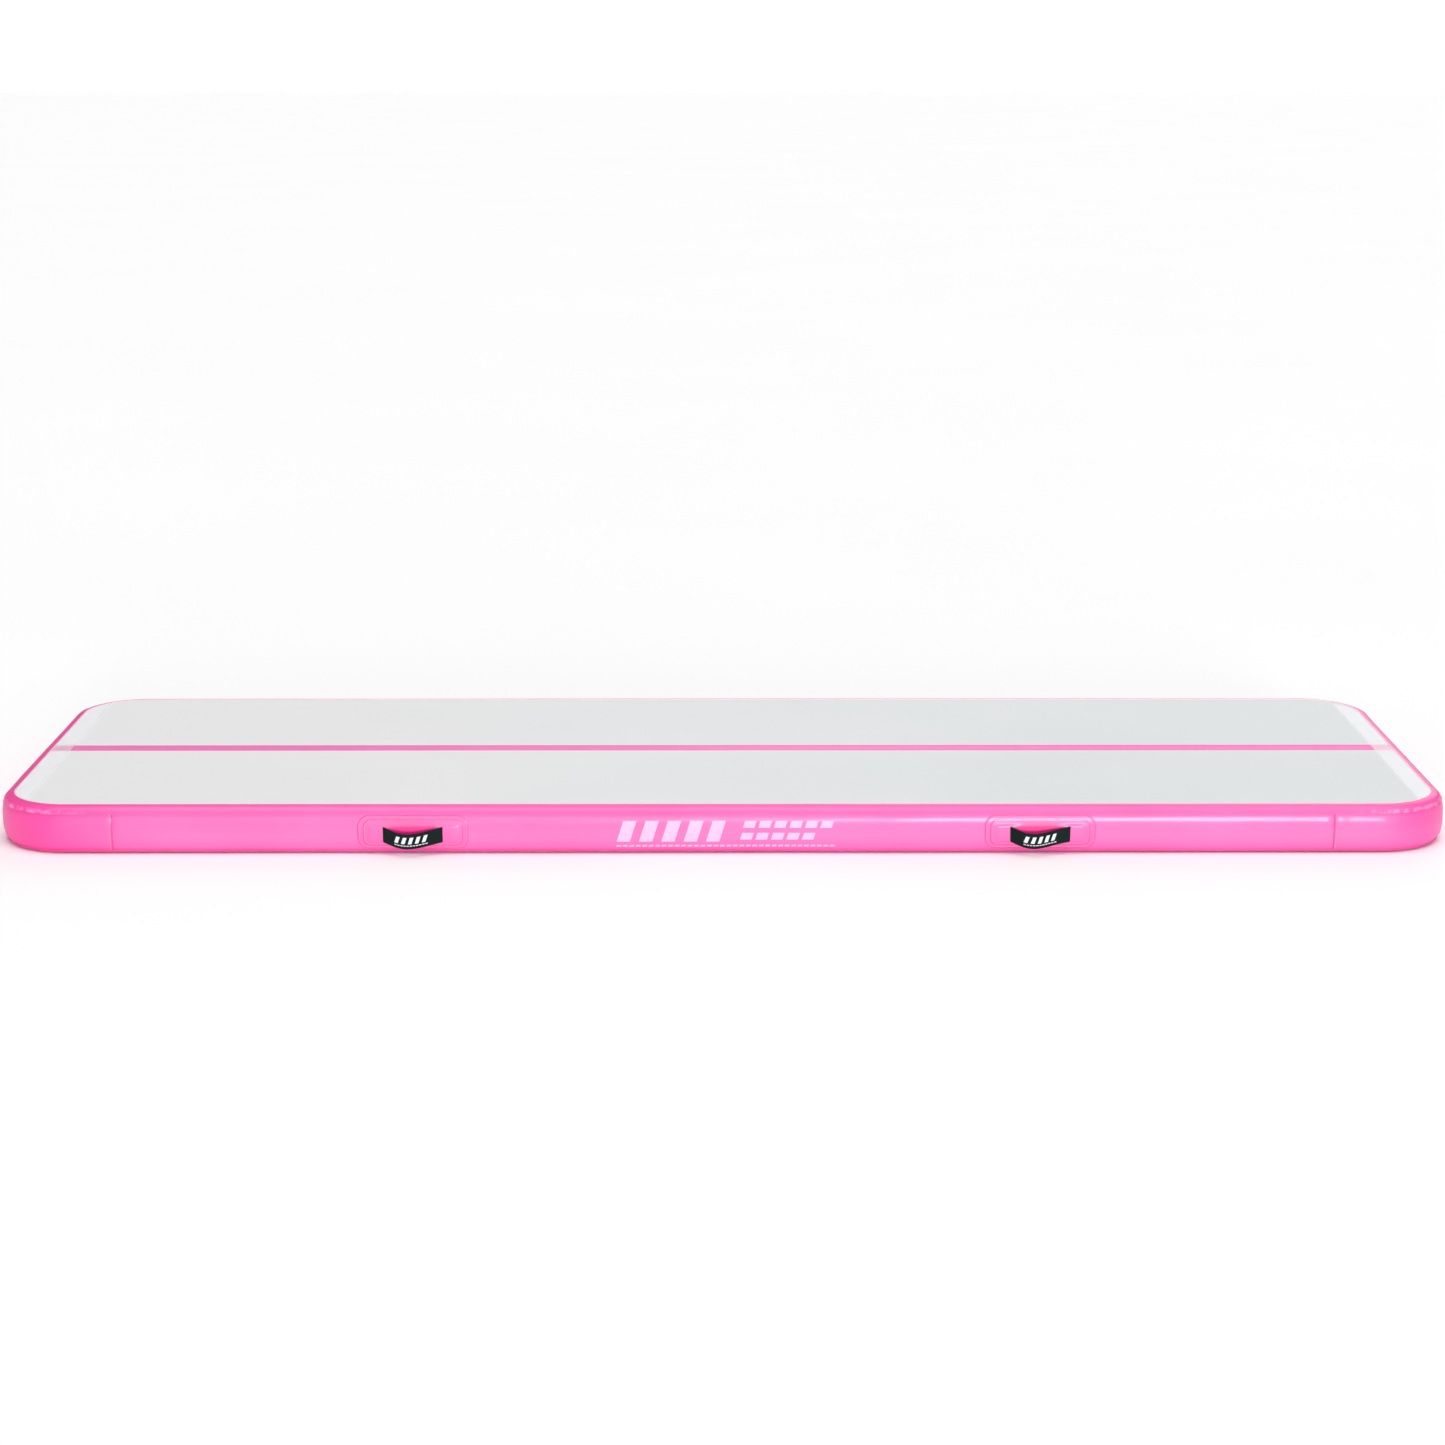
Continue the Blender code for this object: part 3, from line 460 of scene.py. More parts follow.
def rubber():
    made, tree, shader, place = new_material("seal_rubber")
    dust = noise_at(tree, place, 220.0, 4.0)
    plug(
        tree,
        shader,
        Base_Color=ramp(tree, dust, [(0.4, (0.012, 0.012, 0.013)), (0.75, (0.045, 0.045, 0.047))]),
        Roughness=between(tree, dust, 0.6, 0.85),
        Normal=bumped(tree, noise_at(tree, place, 1800.0), 0.00004, 0.5),
    )
    return made


def spring_steel():
    made, tree, shader, place = new_material("spring_steel")
    drawn = node(tree, "ShaderNodeMapping", {"Vector": place, "Scale": (4000.0, 300.0, 300.0)})
    marks = noise_at(tree, drawn.outputs["Vector"], 1.0, 3.0)
    plug(
        tree,
        shader,
        Base_Color=ramp(tree, marks, [(0.3, (0.48, 0.48, 0.49)), (0.7, (0.68, 0.68, 0.69))]),
        Metallic=1.0,
        Roughness=between(tree, marks, 0.22, 0.4),
    )
    return made


def raw_cloth():
    """The drop-stitch fabric's woven polyester, seen only where the chamber is open."""
    made, tree, shader, place = new_material("raw_cloth")
    split = axes(tree, place)
    warp = maths(tree, "SINE", maths(tree, "MULTIPLY", split["Y"], 2 * math.pi / 0.0016))
    weft = maths(tree, "SINE", maths(tree, "MULTIPLY", split["X"], 2 * math.pi / 0.0016))
    weave = maths(tree, "MULTIPLY_ADD", maths(tree, "MULTIPLY", warp, weft), 0.5, 0.5)
    plug(
        tree,
        shader,
        Base_Color=ramp(tree, weave, [(0.2, (0.62, 0.62, 0.60)), (0.8, (0.82, 0.82, 0.80))]),
        Roughness=between(tree, noise_at(tree, place, 500.0), 0.8, 0.95),
        Normal=bumped(tree, weave, 0.0002, 0.8),
        Sheen_Weight=0.2,
    )
    return made


# ---------------------------------------------------------------- the wall's section


def wall_point(angle, depth):
    """(outward from the deck's edge, height) on the wall's section, at a depth under the tapes' face."""
    c, s = math.cos(math.radians(angle)), math.sin(math.radians(angle))
    out = BULGE * abs(c) ** (2 / BULGE_POWER)
    up = math.copysign(MID * abs(s) ** (2 / BULGE_POWER), s)
    slope = Vector(
        (
            out ** (BULGE_POWER - 1) / BULGE**BULGE_POWER,
            math.copysign(abs(up) ** (BULGE_POWER - 1) / MID**BULGE_POWER, s),
        )
    ).normalized()
    return Vector((out - depth * slope.x, MID + up - depth * slope.y))


def even_angles(start, end, spacing):
    """Angles about this far apart along the section, with both ends."""
    steps = 4 * round(abs(end - start))
    found, last = [start], wall_point(start, 0)
    for i in range(1, steps):
        angle = start + (end - start) * i / steps
        here = wall_point(angle, 0)
        if (here - last).length >= spacing:
            found.append(angle)
            last = here
    return [*found, end]


def rounded_tip(leaving, arriving, along):
    """Points that carry a sheet's edge round from one face to the other."""
    middle = (leaving + arriving) / 2
    half = (leaving - arriving).length / 2
    turns = [math.radians(a) for a in (30, 60, 90, 120, 150)]
    return [middle + (leaving - middle) * math.cos(a) + along * half * math.sin(a) for a in turns]


def sheet_section(start, end, depth, lips=False, spacing=0.0026):
    """The closed section of a bent sheet, from a higher wall angle to a lower one."""
    angles = even_angles(start, end, spacing)
    outer = [wall_point(a, depth) for a in angles]
    inner = [wall_point(a, depth + SHEET) for a in angles]
    if lips:
        for face in (outer, inner):
            face.insert(0, Vector((-LIP, face[0].y)))
            face.append(Vector((-LIP, face[-1].y)))
    loop = outer + rounded_tip(outer[-1], inner[-1], (outer[-1] - outer[-2]).normalized())
    loop += inner[::-1] + rounded_tip(inner[0], outer[0], (outer[0] - outer[1]).normalized())
    return [(point.x, -point.y, 0) for point in loop]


def skin_table(reach=65, per_degree=4):
    """Arc heights above mid-height up the wall's outer face, with its points and normals."""
    rows, travelled, last = [], 0.0, None
    for i in range(-reach * per_degree, reach * per_degree + 1):
        here = wall_point(i / per_degree, SKIN_DEPTH)
        if last is not None:
            travelled += (here - last).length
        rows.append((travelled, here, (wall_point(i / per_degree, 0) - here) / SKIN_DEPTH))
        last = here
    middle = rows[len(rows) // 2][0]
    return [(length - middle, here, normal) for length, here, normal in rows]


SKIN = skin_table()
SKIN_STEP = (SKIN[-1][0] - SKIN[0][0]) / (len(SKIN) - 1)


def skin_point(s, lift):
    """(outward, height) at arc height s, lifted off the wall's outer face."""
    i = min(max(int((s - SKIN[0][0]) / SKIN_STEP), 0), len(SKIN) - 2)
    while i > 0 and SKIN[i][0] > s:
        i -= 1
    while i < len(SKIN) - 2 and SKIN[i + 1][0] < s:
        i += 1
    (s0, p0, n0), (s1, p1, n1) = SKIN[i], SKIN[i + 1]
    share = (s - s0) / (s1 - s0)
    return p0.lerp(p1, share) + n0.lerp(n1, share) * lift


class Side:
    """A straight stretch of wall: u runs along it and out is away from the mat."""

    def __init__(self, x, y, along, outward):
        self.origin = Vector((x, y, 0))
        self.along = Vector((*along, 0))
        self.outward = Vector((*outward, 0))

    def place(self, u, out, z):
        return self.origin + self.along * u + self.outward * out + Vector((0, 0, z))

    def on_skin(self, u, s, lift):
        return self.place(u, *skin_point(s, lift))


def smooth(value, low, high):
    share = min(max((value - low) / (high - low), 0), 1)
    return share * share * (3 - 2 * share)


PINK = ((0.77, 0.088, 0.352), (0.83, 0.113, 0.397))
TAPE_PINK = ((0.76, 0.078, 0.340), (0.82, 0.100, 0.385))
LINE_PINK = ((0.86, 0.14, 0.45), (0.92, 0.17, 0.50))

FINISH = {
    "deck_grey": deck_sheet("deck_grey", (0.677, 0.705, 0.714), (0.786, 0.784, 0.789)),
    "line_pink": pvc_sheet("line_pink", *LINE_PINK, 0.6, 0.0001, line_tone),
    "wall_pink": pvc_sheet("wall_pink", *PINK, 0.50, 0.00006, butt_seams_and_painted_light),
    "tape_pink": pvc_sheet("tape_pink", *TAPE_PINK, 0.50, 0.00006, tape_edges),
    "patch_pink": pvc_sheet("patch_pink", *PINK, 0.49, 0.00007, weld_rim(BASE_PATCH)),
    # The cover patch takes the strap's painted shadow.
    "cover_pink": pvc_sheet("cover_pink", *PINK, 0.48, 0.00007, weld_rim(COVER_PATCH, True)),
    "valve_patch_pink": pvc_sheet("valve_patch_pink", *PINK, 0.49, 0.00007, weld_rim(VALVE_PATCH)),
    "base_grey": pvc_sheet("base_grey", (0.52, 0.52, 0.54), (0.60, 0.60, 0.62), 0.62, 0.00035),
    "clear_film": clear_film(),
    "film_underside": film_underside(),
    "black_webbing": webbing("black_webbing", (0.002, 0.007, 0.006), (0.007, 0.019, 0.017)),
    "white_thread": webbing("white_thread", (0.62, 0.64, 0.64), (0.88, 0.90, 0.90)),
    "pale_print": ink(),
    "valve_grey": moulded("valve_grey", (0.30, 0.39, 0.41), (0.38, 0.47, 0.49), 0.36),
    "valve_pale": moulded("valve_pale", (0.56, 0.58, 0.64), (0.64, 0.66, 0.72), 0.38),
    "tether_plastic": moulded("tether_plastic", (0.72, 0.62, 0.68), (0.80, 0.70, 0.76), 0.34, 0.3),
    "seal_rubber": rubber(),
    "spring_steel": spring_steel(),
    "woven_yarn": raw_cloth(),
}


# ---------------------------------------------------------------- the skin's unevenness


def air_wave(point):
    """How far the inflated wall stands in or out of its true shape at a point."""
    slow = noise.noise(Vector((point.x * 2.6, point.y * 2.6, point.z * 5)))
    quick = noise.noise(Vector((point.x * 11 + 7, point.y * 11, point.z * 15)))
    wave = 0.0016 * slow + 0.00045 * quick
    if abs(point.y) > EDGE_Y:
        off = abs(point.x) - SEAM_X
        wave += 0.0005 * (1 - smooth(abs(off), 0.018, 0.030))
        wave -= 0.0013 * math.exp(-((off / 0.0032) ** 2))
    return wave


def settle(mesh):
    """Moves the points that lie beyond the deck's edge by the wall's unevenness."""
    for vertex in mesh.vertices:
        x, y = vertex.co.x, vertex.co.y
        arm = Vector(
            (
                math.copysign(max(abs(x) - (EDGE_X - EDGE_RADIUS), 0), x),
                math.copysign(max(abs(y) - (EDGE_Y - EDGE_RADIUS), 0), y),
                0,
            )
        )
        beyond = arm.length - EDGE_RADIUS
        if beyond > 0:
            vertex.co += arm.normalized() * air_wave(vertex.co) * smooth(beyond, 0, 0.016)


# ---------------------------------------------------------------- making pieces


def linked(name, mesh):
    made = bpy.data.objects.new(name, mesh)
    bpy.context.scene.collection.objects.link(made)
    return made


def plain(piece):
    """The piece with its modifiers worked into its mesh."""
    bpy.context.view_layer.update()
    seen = piece.evaluated_get(bpy.context.evaluated_depsgraph_get())
    mesh = bpy.data.meshes.new_from_object(seen)
    mesh.name = piece.name
    piece.modifiers.clear()
    piece.data = mesh
    return piece


def shaded(piece, angle=40):
    piece.data.shade_smooth()
    piece.data.set_sharp_from_angle(angle=math.radians(angle))
    return piece


def turn_outward(mesh):
    """Makes every face look outward."""
    work = bmesh.new()
    work.from_mesh(mesh)
    bmesh.ops.recalc_face_normals(work, faces=work.faces)
    work.to_mesh(mesh)
    work.free()


def mapped(piece, name, places):
    """Gives the piece a UV map, with one place for each of its points."""
    layer = piece.data.uv_layers.new(name=name)
    for loop in piece.data.loops:
        layer.data[loop.index].uv = places[loop.vertex_index]
    return piece


def ring_faces(a, b, size):
    """Faces between two rings of points, whose first points are a and b."""
    return [(a + k, a + (k + 1) % size, b + (k + 1) % size, b + k) for k in range(size)]


def piece_of(name, points, faces, finish):
    mesh = bpy.data.meshes.new(name)
    mesh.from_pydata([tuple(p) for p in points], [], faces)
    turn_outward(mesh)
    mesh.materials.append(FINISH[finish])
    return shaded(linked(name, mesh))


def bevelled(piece, width, segments=2, angle=50):
    step = piece.modifiers.new("Bevel", "BEVEL")
    step.width = width
    step.segments = segments
    step.limit_method = "ANGLE"
    step.angle_limit = math.radians(angle)
    return shaded(plain(piece))


def cut(piece, tool):
    step = piece.modifiers.new("Cut", "BOOLEAN")
    step.operation = "DIFFERENCE"
    step.object = tool
    step.solver = "EXACT"
    plain(piece)
    bpy.data.objects.remove(tool)
    return piece


def own(piece, body, slot, *nodes):
    """The piece rides on a body and stands for these nodes. slot is not used."""
    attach(piece, body)
    if nodes:
        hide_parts(*nodes)
    return piece


# ---------------------------------------------------------------- geometry node trees


def new_tree(name, **inputs):
    """A geometry nodes tree with named inputs, and its group input and output."""
    tree = bpy.data.node_groups.new(name, "GeometryNodeTree")
    tree.interface.new_socket("Geometry", in_out="OUTPUT", socket_type="NodeSocketGeometry")
    for key, kind in inputs.items():
        title = key.replace("_", " ")
        tree.interface.new_socket(title, in_out="INPUT", socket_type=f"NodeSocket{kind}")
    return tree, node(tree, "NodeGroupInput").outputs


def finish_tree(tree, given, geometry):
    real = node(tree, "GeometryNodeRealizeInstances", {"Geometry": geometry})
    inputs = {"Geometry": real.outputs["Geometry"], "Material": given["Finish"]}
    coloured = node(tree, "GeometryNodeSetMaterial", inputs)
    node(tree, "NodeGroupOutput", {"Geometry": coloured.outputs["Geometry"]})
    return tree


def grown(name, tree, **inputs):
    """The piece that a tree makes from these inputs, as a plain mesh."""
    piece = linked(name, bpy.data.meshes.new(name))
    step = piece.modifiers.new("Grow", "NODES")
    step.node_group = tree
    sockets = {s.name: s.identifier for s in tree.interface.items_tree if s.in_out == "INPUT"}
    for key, value in inputs.items():
        step[sockets[key.replace("_", " ")]] = value
    return plain(piece)


def sweep_tree():
    """Carries a closed section along a level path, and puckers it where the path turns a corner."""
    tree, given = new_tree(
        "swept_sheet",
        Path="Object",
        Section="Object",
        Pucker="Float",
        Pucker_Length="Float",
        Corner_X="Float",
        Corner_Y="Float",
        Seed="Float",
        Finish="Material",
    )
    path = node(tree, "GeometryNodeObjectInfo", {"Object": given["Path"]}).outputs["Geometry"]
    section = node(tree, "GeometryNodeObjectInfo", {"Object": given["Section"]}).outputs["Geometry"]
    length = node(tree, "GeometryNodeSplineParameter").outputs["Length"]
    kept = []
    for curve in (path, section):
        store = node(tree, "GeometryNodeCaptureAttribute", {"Geometry": curve})
        store.capture_items.new("FLOAT", "Length")
        tree.links.new(length, store.inputs["Length"])
        kept.append(store.outputs)
    inputs = {"Curve": kept[0]["Geometry"], "Profile Curve": kept[1]["Geometry"], "Fill Caps": True}
    sheet = node(tree, "GeometryNodeCurveToMesh", inputs).outputs["Mesh"]

    split = axes(tree, node(tree, "GeometryNodeInputPosition").outputs["Position"])
    share = 1.0
    for axis, corner in (("X", "Corner X"), ("Y", "Corner Y")):
        inside = maths(tree, "SUBTRACT", maths(tree, "ABSOLUTE", split[axis]), given[corner])
        share = maths(tree, "MULTIPLY", ranged(tree, inside, -0.03, 0.03, eased=True), share)
    hanging = ranged(tree, split["Z"], TOP, TOP - 0.014, low=0.15, eased=True)
    share = maths(tree, "MULTIPLY", share, hanging)
    place = node(
        tree,
        "ShaderNodeCombineXYZ",
        {
            "X": maths(tree, "DIVIDE", kept[0]["Length"], given["Pucker Length"]),
            "Y": maths(tree, "MULTIPLY", kept[1]["Length"], 22.0),
            "Z": given["Seed"],
        },
    )
    ripple = noise_at(tree, place.outputs["Vector"], 1.0, 2.0, 0.45)
    depth = maths(tree, "MULTIPLY", maths(tree, "MULTIPLY", share, given["Pucker"]), 2.0)
    push = maths(tree, "MULTIPLY", maths(tree, "SUBTRACT", ripple, 0.5), depth)
    normal = node(tree, "GeometryNodeInputNormal").outputs["Normal"]
    offset = node(tree, "ShaderNodeVectorMath", {0: normal, "Scale": push}, operation="SCALE")
    moved = {"Geometry": sheet, "Offset": offset.outputs["Vector"]}
    sheet = node(tree, "GeometryNodeSetPosition", moved).outputs["Geometry"]
    return finish_tree(tree, given, sheet)


def mark_tree():
    """A row of slanted bars, each a thin closed plate with enough points to bend round the wall."""
    tree, given = new_tree(
        "row_of_marks",
        Count="Int",
        Pitch="Float",
        Width="Float",
        Height="Float",
        Thickness="Float",
        Slant="Float",
        Finish="Material",
    )
    size = {"X": given["Width"], "Y": given["Height"], "Z": given["Thickness"]}
    size = node(tree, "ShaderNodeCombineXYZ", size).outputs["Vector"]
    counts = {"Size": size, "Vertices X": 6, "Vertices Y": 12, "Vertices Z": 2}
    bar = node(tree, "GeometryNodeMeshCube", counts).outputs["Mesh"]
    split = axes(tree, node(tree, "GeometryNodeInputPosition").outputs["Position"])
    lean = maths(tree, "MULTIPLY", split["Y"], given["Slant"])
    lean = node(tree, "ShaderNodeCombineXYZ", {"X": lean}).outputs["Vector"]
    bar = node(tree, "GeometryNodeSetPosition", {"Geometry": bar, "Offset": lean}).outputs["Geometry"]
    step = node(tree, "ShaderNodeCombineXYZ", {"X": given["Pitch"]}).outputs["Vector"]
    line = node(tree, "GeometryNodeMeshLine", {"Count": given["Count"], "Offset": step}).outputs["Mesh"]
    spread = {"Points": line, "Instance": bar}
    bars = node(tree, "GeometryNodeInstanceOnPoints", spread).outputs["Instances"]
    return finish_tree(tree, given, bars)


SWEEP = sweep_tree()
MARKS = mark_tree()


# ---------------------------------------------------------------- chamber


def guide(name, points, closed):
    curve = bpy.data.curves.new(name, "CURVE")
    curve.dimensions = "3D"
    line = curve.splines.new("POLY")
    line.points.add(len(points) - 1)
    for spot, point in zip(line.points, points):
        spot.co = (*point, 1)
    line.use_cyclic_u = closed
    return linked(name, curve)


def straight(start, end, step=PATH_STEP):
    """Level points from start up to, but not at, end."""
    start, end = Vector((*start, 0)), Vector((*end, 0))
    count = max(1, round((end - start).length / step))
    return [start.lerp(end, i / count) for i in range(count)]


def corner(sx, sy, steps=30):
    """Points round one corner of the deck's edge, seen anticlockwise from above, without the last."""
    start = {(1, -1): -90, (1, 1): 0, (-1, 1): 90, (-1, -1): 180}[(sx, sy)]
    turns = [math.radians(start + 90 * i / steps) for i in range(steps)]
    middle = Vector((sx * (EDGE_X - EDGE_RADIUS), sy * (EDGE_Y - EDGE_RADIUS), 0))
    return [middle + Vector((math.cos(t), math.sin(t), 0)) * EDGE_RADIUS for t in turns]


def end_path(sx):
    """Round one end of the mat, from seam to seam."""
    start = SEAM_X + GAP / 2
    if sx > 0:
        points = straight((start, -EDGE_Y), (INNER_X, -EDGE_Y)) + corner(1, -1)
        points += straight((EDGE_X, -INNER_Y), (EDGE_X, INNER_Y)) + corner(1, 1)
        return points + straight((INNER_X, EDGE_Y), (start, EDGE_Y)) + [Vector((start, EDGE_Y, 0))]
    return [Vector((-point.x, -point.y, 0)) for point in end_path(1)]


def round_path():
    points = straight((-INNER_X, -EDGE_Y), (INNER_X, -EDGE_Y)) + corner(1, -1)
    points += straight((EDGE_X, -INNER_Y), (EDGE_X, INNER_Y)) + corner(1, 1)
    points += straight((INNER_X, EDGE_Y), (-INNER_X, EDGE_Y)) + corner(-1, 1)
    return points + straight((-EDGE_X, INNER_Y), (-EDGE_X, -INNER_Y)) + corner(-1, -1)


def side_path(sy):
    end = SEAM_X - GAP / 2
    points = straight((-end, -EDGE_Y), (end, -EDGE_Y)) + [Vector((end, -EDGE_Y, 0))]
    return points if sy < 0 else [Vector((-point.x, -point.y, 0)) for point in points]


def carried(name, path, section, closed, finish, pucker=0.0, pucker_length=1.0, seed=0.0, twist="Z_UP"):
    """A closed section carried along a path, as a plain mesh."""
    rail = guide(f"{name}_path", path, closed)
    rail.data.twist_mode = twist
    outline = guide(f"{name}_section", section, True)
    piece = grown(
        name,
        SWEEP,
        Path=rail,
        Section=outline,
        Pucker=pucker,
        Pucker_Length=pucker_length,
        Corner_X=INNER_X,
        Corner_Y=INNER_Y,
        Seed=seed,
        Finish=FINISH[finish],
    )
    bpy.data.objects.remove(rail)
    bpy.data.objects.remove(outline)
    return piece


def swept(*settings):
    """A carried sheet of the chamber, with the air's unevenness."""
    piece = carried(*settings)
    settle(piece.data)
    return shaded(piece, 50)


def make_walls():
    section = sheet_section(90, -90, SKIN_DEPTH, lips=True, spacing=0.0032)
    paths = {"front": side_path(-1), "rear": side_path(1), "right": end_path(1), "left": end_path(-1)}
    for seed, (end, path) in enumerate(paths.items()):
        name = f"side_wall_{end}"
        wall = swept(f"{name}_skin", path, section, False, "wall_pink", 0.0005, 0.03, float(seed))
        if end == "right":
            cut(wall, rod("valve_hole", 0.0196, -0.02, 0.02))
            shaded(wall, 50)
        own(wall, "mat", "wall_pink", name)


def make_tapes():
    spans = {
        "top_seam_tape": (90, TOP_TAPE_EDGE, 0.0038),
        "bottom_seam_tape": (BOTTOM_TAPE_EDGE, -90, 0.0007),
    }
    for name, (start, end, pucker) in spans.items():
        section = sheet_section(start, end, 0, spacing=0.0022)
        tape = swept(f"{name}_skin", round_path(), section, True, "tape_pink", pucker, 0.016, 4.2)
        own(tape, "mat", "tape_pink", name)


def edge_half_length(y):
    into = max(0.0, abs(y) - INNER_Y)
    radius = EDGE_RADIUS - PANEL_INSET
    return INNER_X + math.sqrt(max(0.0, radius**2 - into**2))


def deck_height(x, y):
    """Height of the deck: almost level, dipping a little to its welded edge."""
    inside = EDGE_RADIUS - math.hypot(max(abs(x) - INNER_X, 0), max(abs(y) - INNER_Y, 0))
    swell = noise.noise(Vector((x * 7, y * 7, 3))) + 0.5 * noise.noise(Vector((x * 19, y * 19, 8)))
    return TOP - 0.0002 - 0.0006 * (1 - smooth(inside, 0, 0.018)) + 0.00022 * swell * smooth(inside, 0, 0.03)


def panel(name, from_y, to_y, height, thickness, slot, columns=210, from_x=None):
    """A thin level sheet that ends at the deck's rounded outline, or starts at from_x and ends there."""
    turns = [math.radians(90 * i / 22) for i in range(23)]
    rows = {INNER_Y + (EDGE_RADIUS - PANEL_INSET) * math.sin(turn) for turn in turns}
    rows |= {INNER_Y * i / 24 for i in range(25)}
    rows = {s * y for y in rows for s in (-1, 1)}
    rows = sorted({round(y, 5) for y in rows if from_y < y < to_y and abs(y) < PANEL_Y} | {from_y, to_y})
    points = []
    for y in rows:
        reach = edge_half_length(y)
        start = -reach if from_x is None else min(from_x, reach)
        for j in range(columns + 1):
            x = start + (reach - start) * j / columns
            z = height(x, y)
            points += [(x, y, z), (x, y, z - thickness)]
    wide = 2 * (columns + 1)
    faces = []
    for i in range(len(rows) - 1):
        for j in range(columns):
            a = i * wide + 2 * j
            b = a + wide
            faces += [(a, a + 2, b + 2, b), (a + 1, b + 1, b + 3, a + 3)]
        a, b = i * wide, (i + 1) * wide
        faces += [(a, b, b + 1, a + 1), (a + wide - 2, a + wide - 1, b + wide - 1, b + wide - 2)]
    last = (len(rows) - 1) * wide
    for j in range(columns):
        a, b = 2 * j, last + 2 * j
        faces += [(a, a + 1, a + 3, a + 2), (b, b + 2, b + 3, b + 1)]
    return bevelled(piece_of(name, points, faces, slot), 0.00022, 2, 60)


def make_deck_halves():
    for name, from_y, to_y in (
        ("deck_front", -PANEL_Y, -LINE_HALF - LINE_JOINT),
        ("deck_rear", LINE_HALF + LINE_JOINT, PANEL_Y),
    ):
        half = panel(f"{name}_skin", from_y, to_y, deck_height, DECK, "deck_grey")
        own(half, "mat", "deck_grey", name)


def make_centre_line():
    line = panel("centre_line_skin", -LINE_HALF, LINE_HALF, deck_height, DECK, "line_pink")
    own(line, "mat", "line_pink", "centre_line")


def make_end_films():
    """The film at the right end, and its turned copy at the left one, fitted to the deck there."""

    def film_height(x, y):
        return deck_height(x, y) + 0.00012

    right = panel(
        "end_film_right_skin", -PANEL_Y, PANEL_Y, film_height, 0.0001, "clear_film", columns=12, from_x=FILM_X
    )
    right.data.materials.append(FINISH["film_underside"])
    for face in right.data.polygons:
        face.material_index = 0 if face.normal.z > 0.5 else 1
    left = linked("end_film_left_skin", right.data.copy())
    for vertex in left.data.vertices:
        x, y = -vertex.co.x, -vertex.co.y
        vertex.co = (x, y, vertex.co.z - deck_height(-x, -y) + deck_height(x, y))
    own(left, "mat", "clear_film", "end_film_left")
    own(right, "mat", "clear_film", "end_film_right")


def make_base():
    base = panel("base_skin", -PANEL_Y, PANEL_Y, lambda x, y: SHEET, SHEET, "base_grey")
    own(base, "mat", "base_grey", "base_sheet")


# ---------------------------------------------------------------- patches


def patch_rows(half_height, radius, middle, cuts):
    turns = [math.radians(90 * i / 12) for i in range(13)]
    rows = [half_height - radius + radius * math.sin(turn) for turn in turns]
    rows += [(half_height - radius) * i / 5 for i in range(5)]
    rows = {round(middle + s * v, 6) for v in rows for s in (-1, 1)}
    rows = {v for v in rows if all(abs(v - c) > 0.0006 for c in cuts)}
    return sorted(rows | set(cuts))


def patch_reach(s, half_length, half_height, radius):
    into = max(0.0, abs(s) - (half_height - radius))
    return half_length - radius + math.sqrt(max(0.0, radius**2 - into**2))


def patch_sheet(name, side, shape, middle, lift, slot, windows=()):
    """A sheet on the wall: lift(u, s) is its underside's lift, and windows are (u0, u1, s0, s1)."""
    rows = patch_rows(*shape[1:], middle, [s for w in windows for s in w[2:]])
    inner = sorted({u for w in windows for u in w[:2]})
    stops = len(inner) + 1
    parts = 44 if stops == 1 else 10
    points, grid, flat = [], {}, []
    for i, s in enumerate(rows):
        reach = patch_reach(s - middle, *shape)
        anchors = [-reach, *inner, reach]
        line = [a + (b - a) * k / parts for a, b in zip(anchors, anchors[1:]) for k in range(parts)]
        for j, u in enumerate([*line, reach]):
            for k in (0, 1):
                grid[i, j, k] = len(points)
                points.append(side.on_skin(u, s, lift(u, s) + k * PATCH))
                flat.append((u, s - middle))
    columns = stops * parts

    def solid(i, j):
        if not (0 <= i < len(rows) - 1 and 0 <= j < columns):
            return False
        stop = j // parts
        if stop in (0, stops - 1):
            return True
        u, s = (inner[stop - 1] + inner[stop]) / 2, (rows[i] + rows[i + 1]) / 2
        return not any(a < u < b and c < s < d for a, b, c, d in windows)

    faces = []
    for i in range(len(rows) - 1):
        for j in range(columns):
            if not solid(i, j):
                continue
            corners = ((i, j), (i, j + 1), (i + 1, j + 1), (i + 1, j))
            faces.append(tuple(grid[a, b, 1] for a, b in corners))
            faces.append(tuple(grid[a, b, 0] for a, b in reversed(corners)))
            for n, cell in enumerate(((i - 1, j), (i, j + 1), (i + 1, j), (i, j - 1))):
                if not solid(*cell):
                    a, b = corners[n], corners[(n + 1) % 4]
                    faces.append((grid[*a, 0], grid[*b, 0], grid[*b, 1], grid[*a, 1]))
    piece = piece_of(name, points, faces, slot)
    mapped(piece, "patch", flat)
    work = bmesh.new()
    work.from_mesh(piece.data)
    bmesh.ops.delete(work, geom=[v for v in work.verts if not v.link_faces], context="VERTS")
    work.to_mesh(piece.data)
    work.free()
    settle(piece.data)
    return bevelled(piece, 0.0003, 2, 55)


# ---------------------------------------------------------------- handles


def tail_hump(u, s):
    """1 over the strap's glued tails and 0 away from them."""
    along = smooth(abs(u), 0.040, 0.054) * (1 - smooth(abs(u), 0.086, 0.096))
    across = 1 - smooth(abs(s + STRAP_DROP), STRAP_WIDTH / 2 - 0.0005, STRAP_WIDTH / 2 + 0.006)
    return along * across


def flush(u, s):
    return BASE_LIFT


def cover_lift(u, s):
    return COVER_LIFT + 0.0018 * tail_hump(u, s)


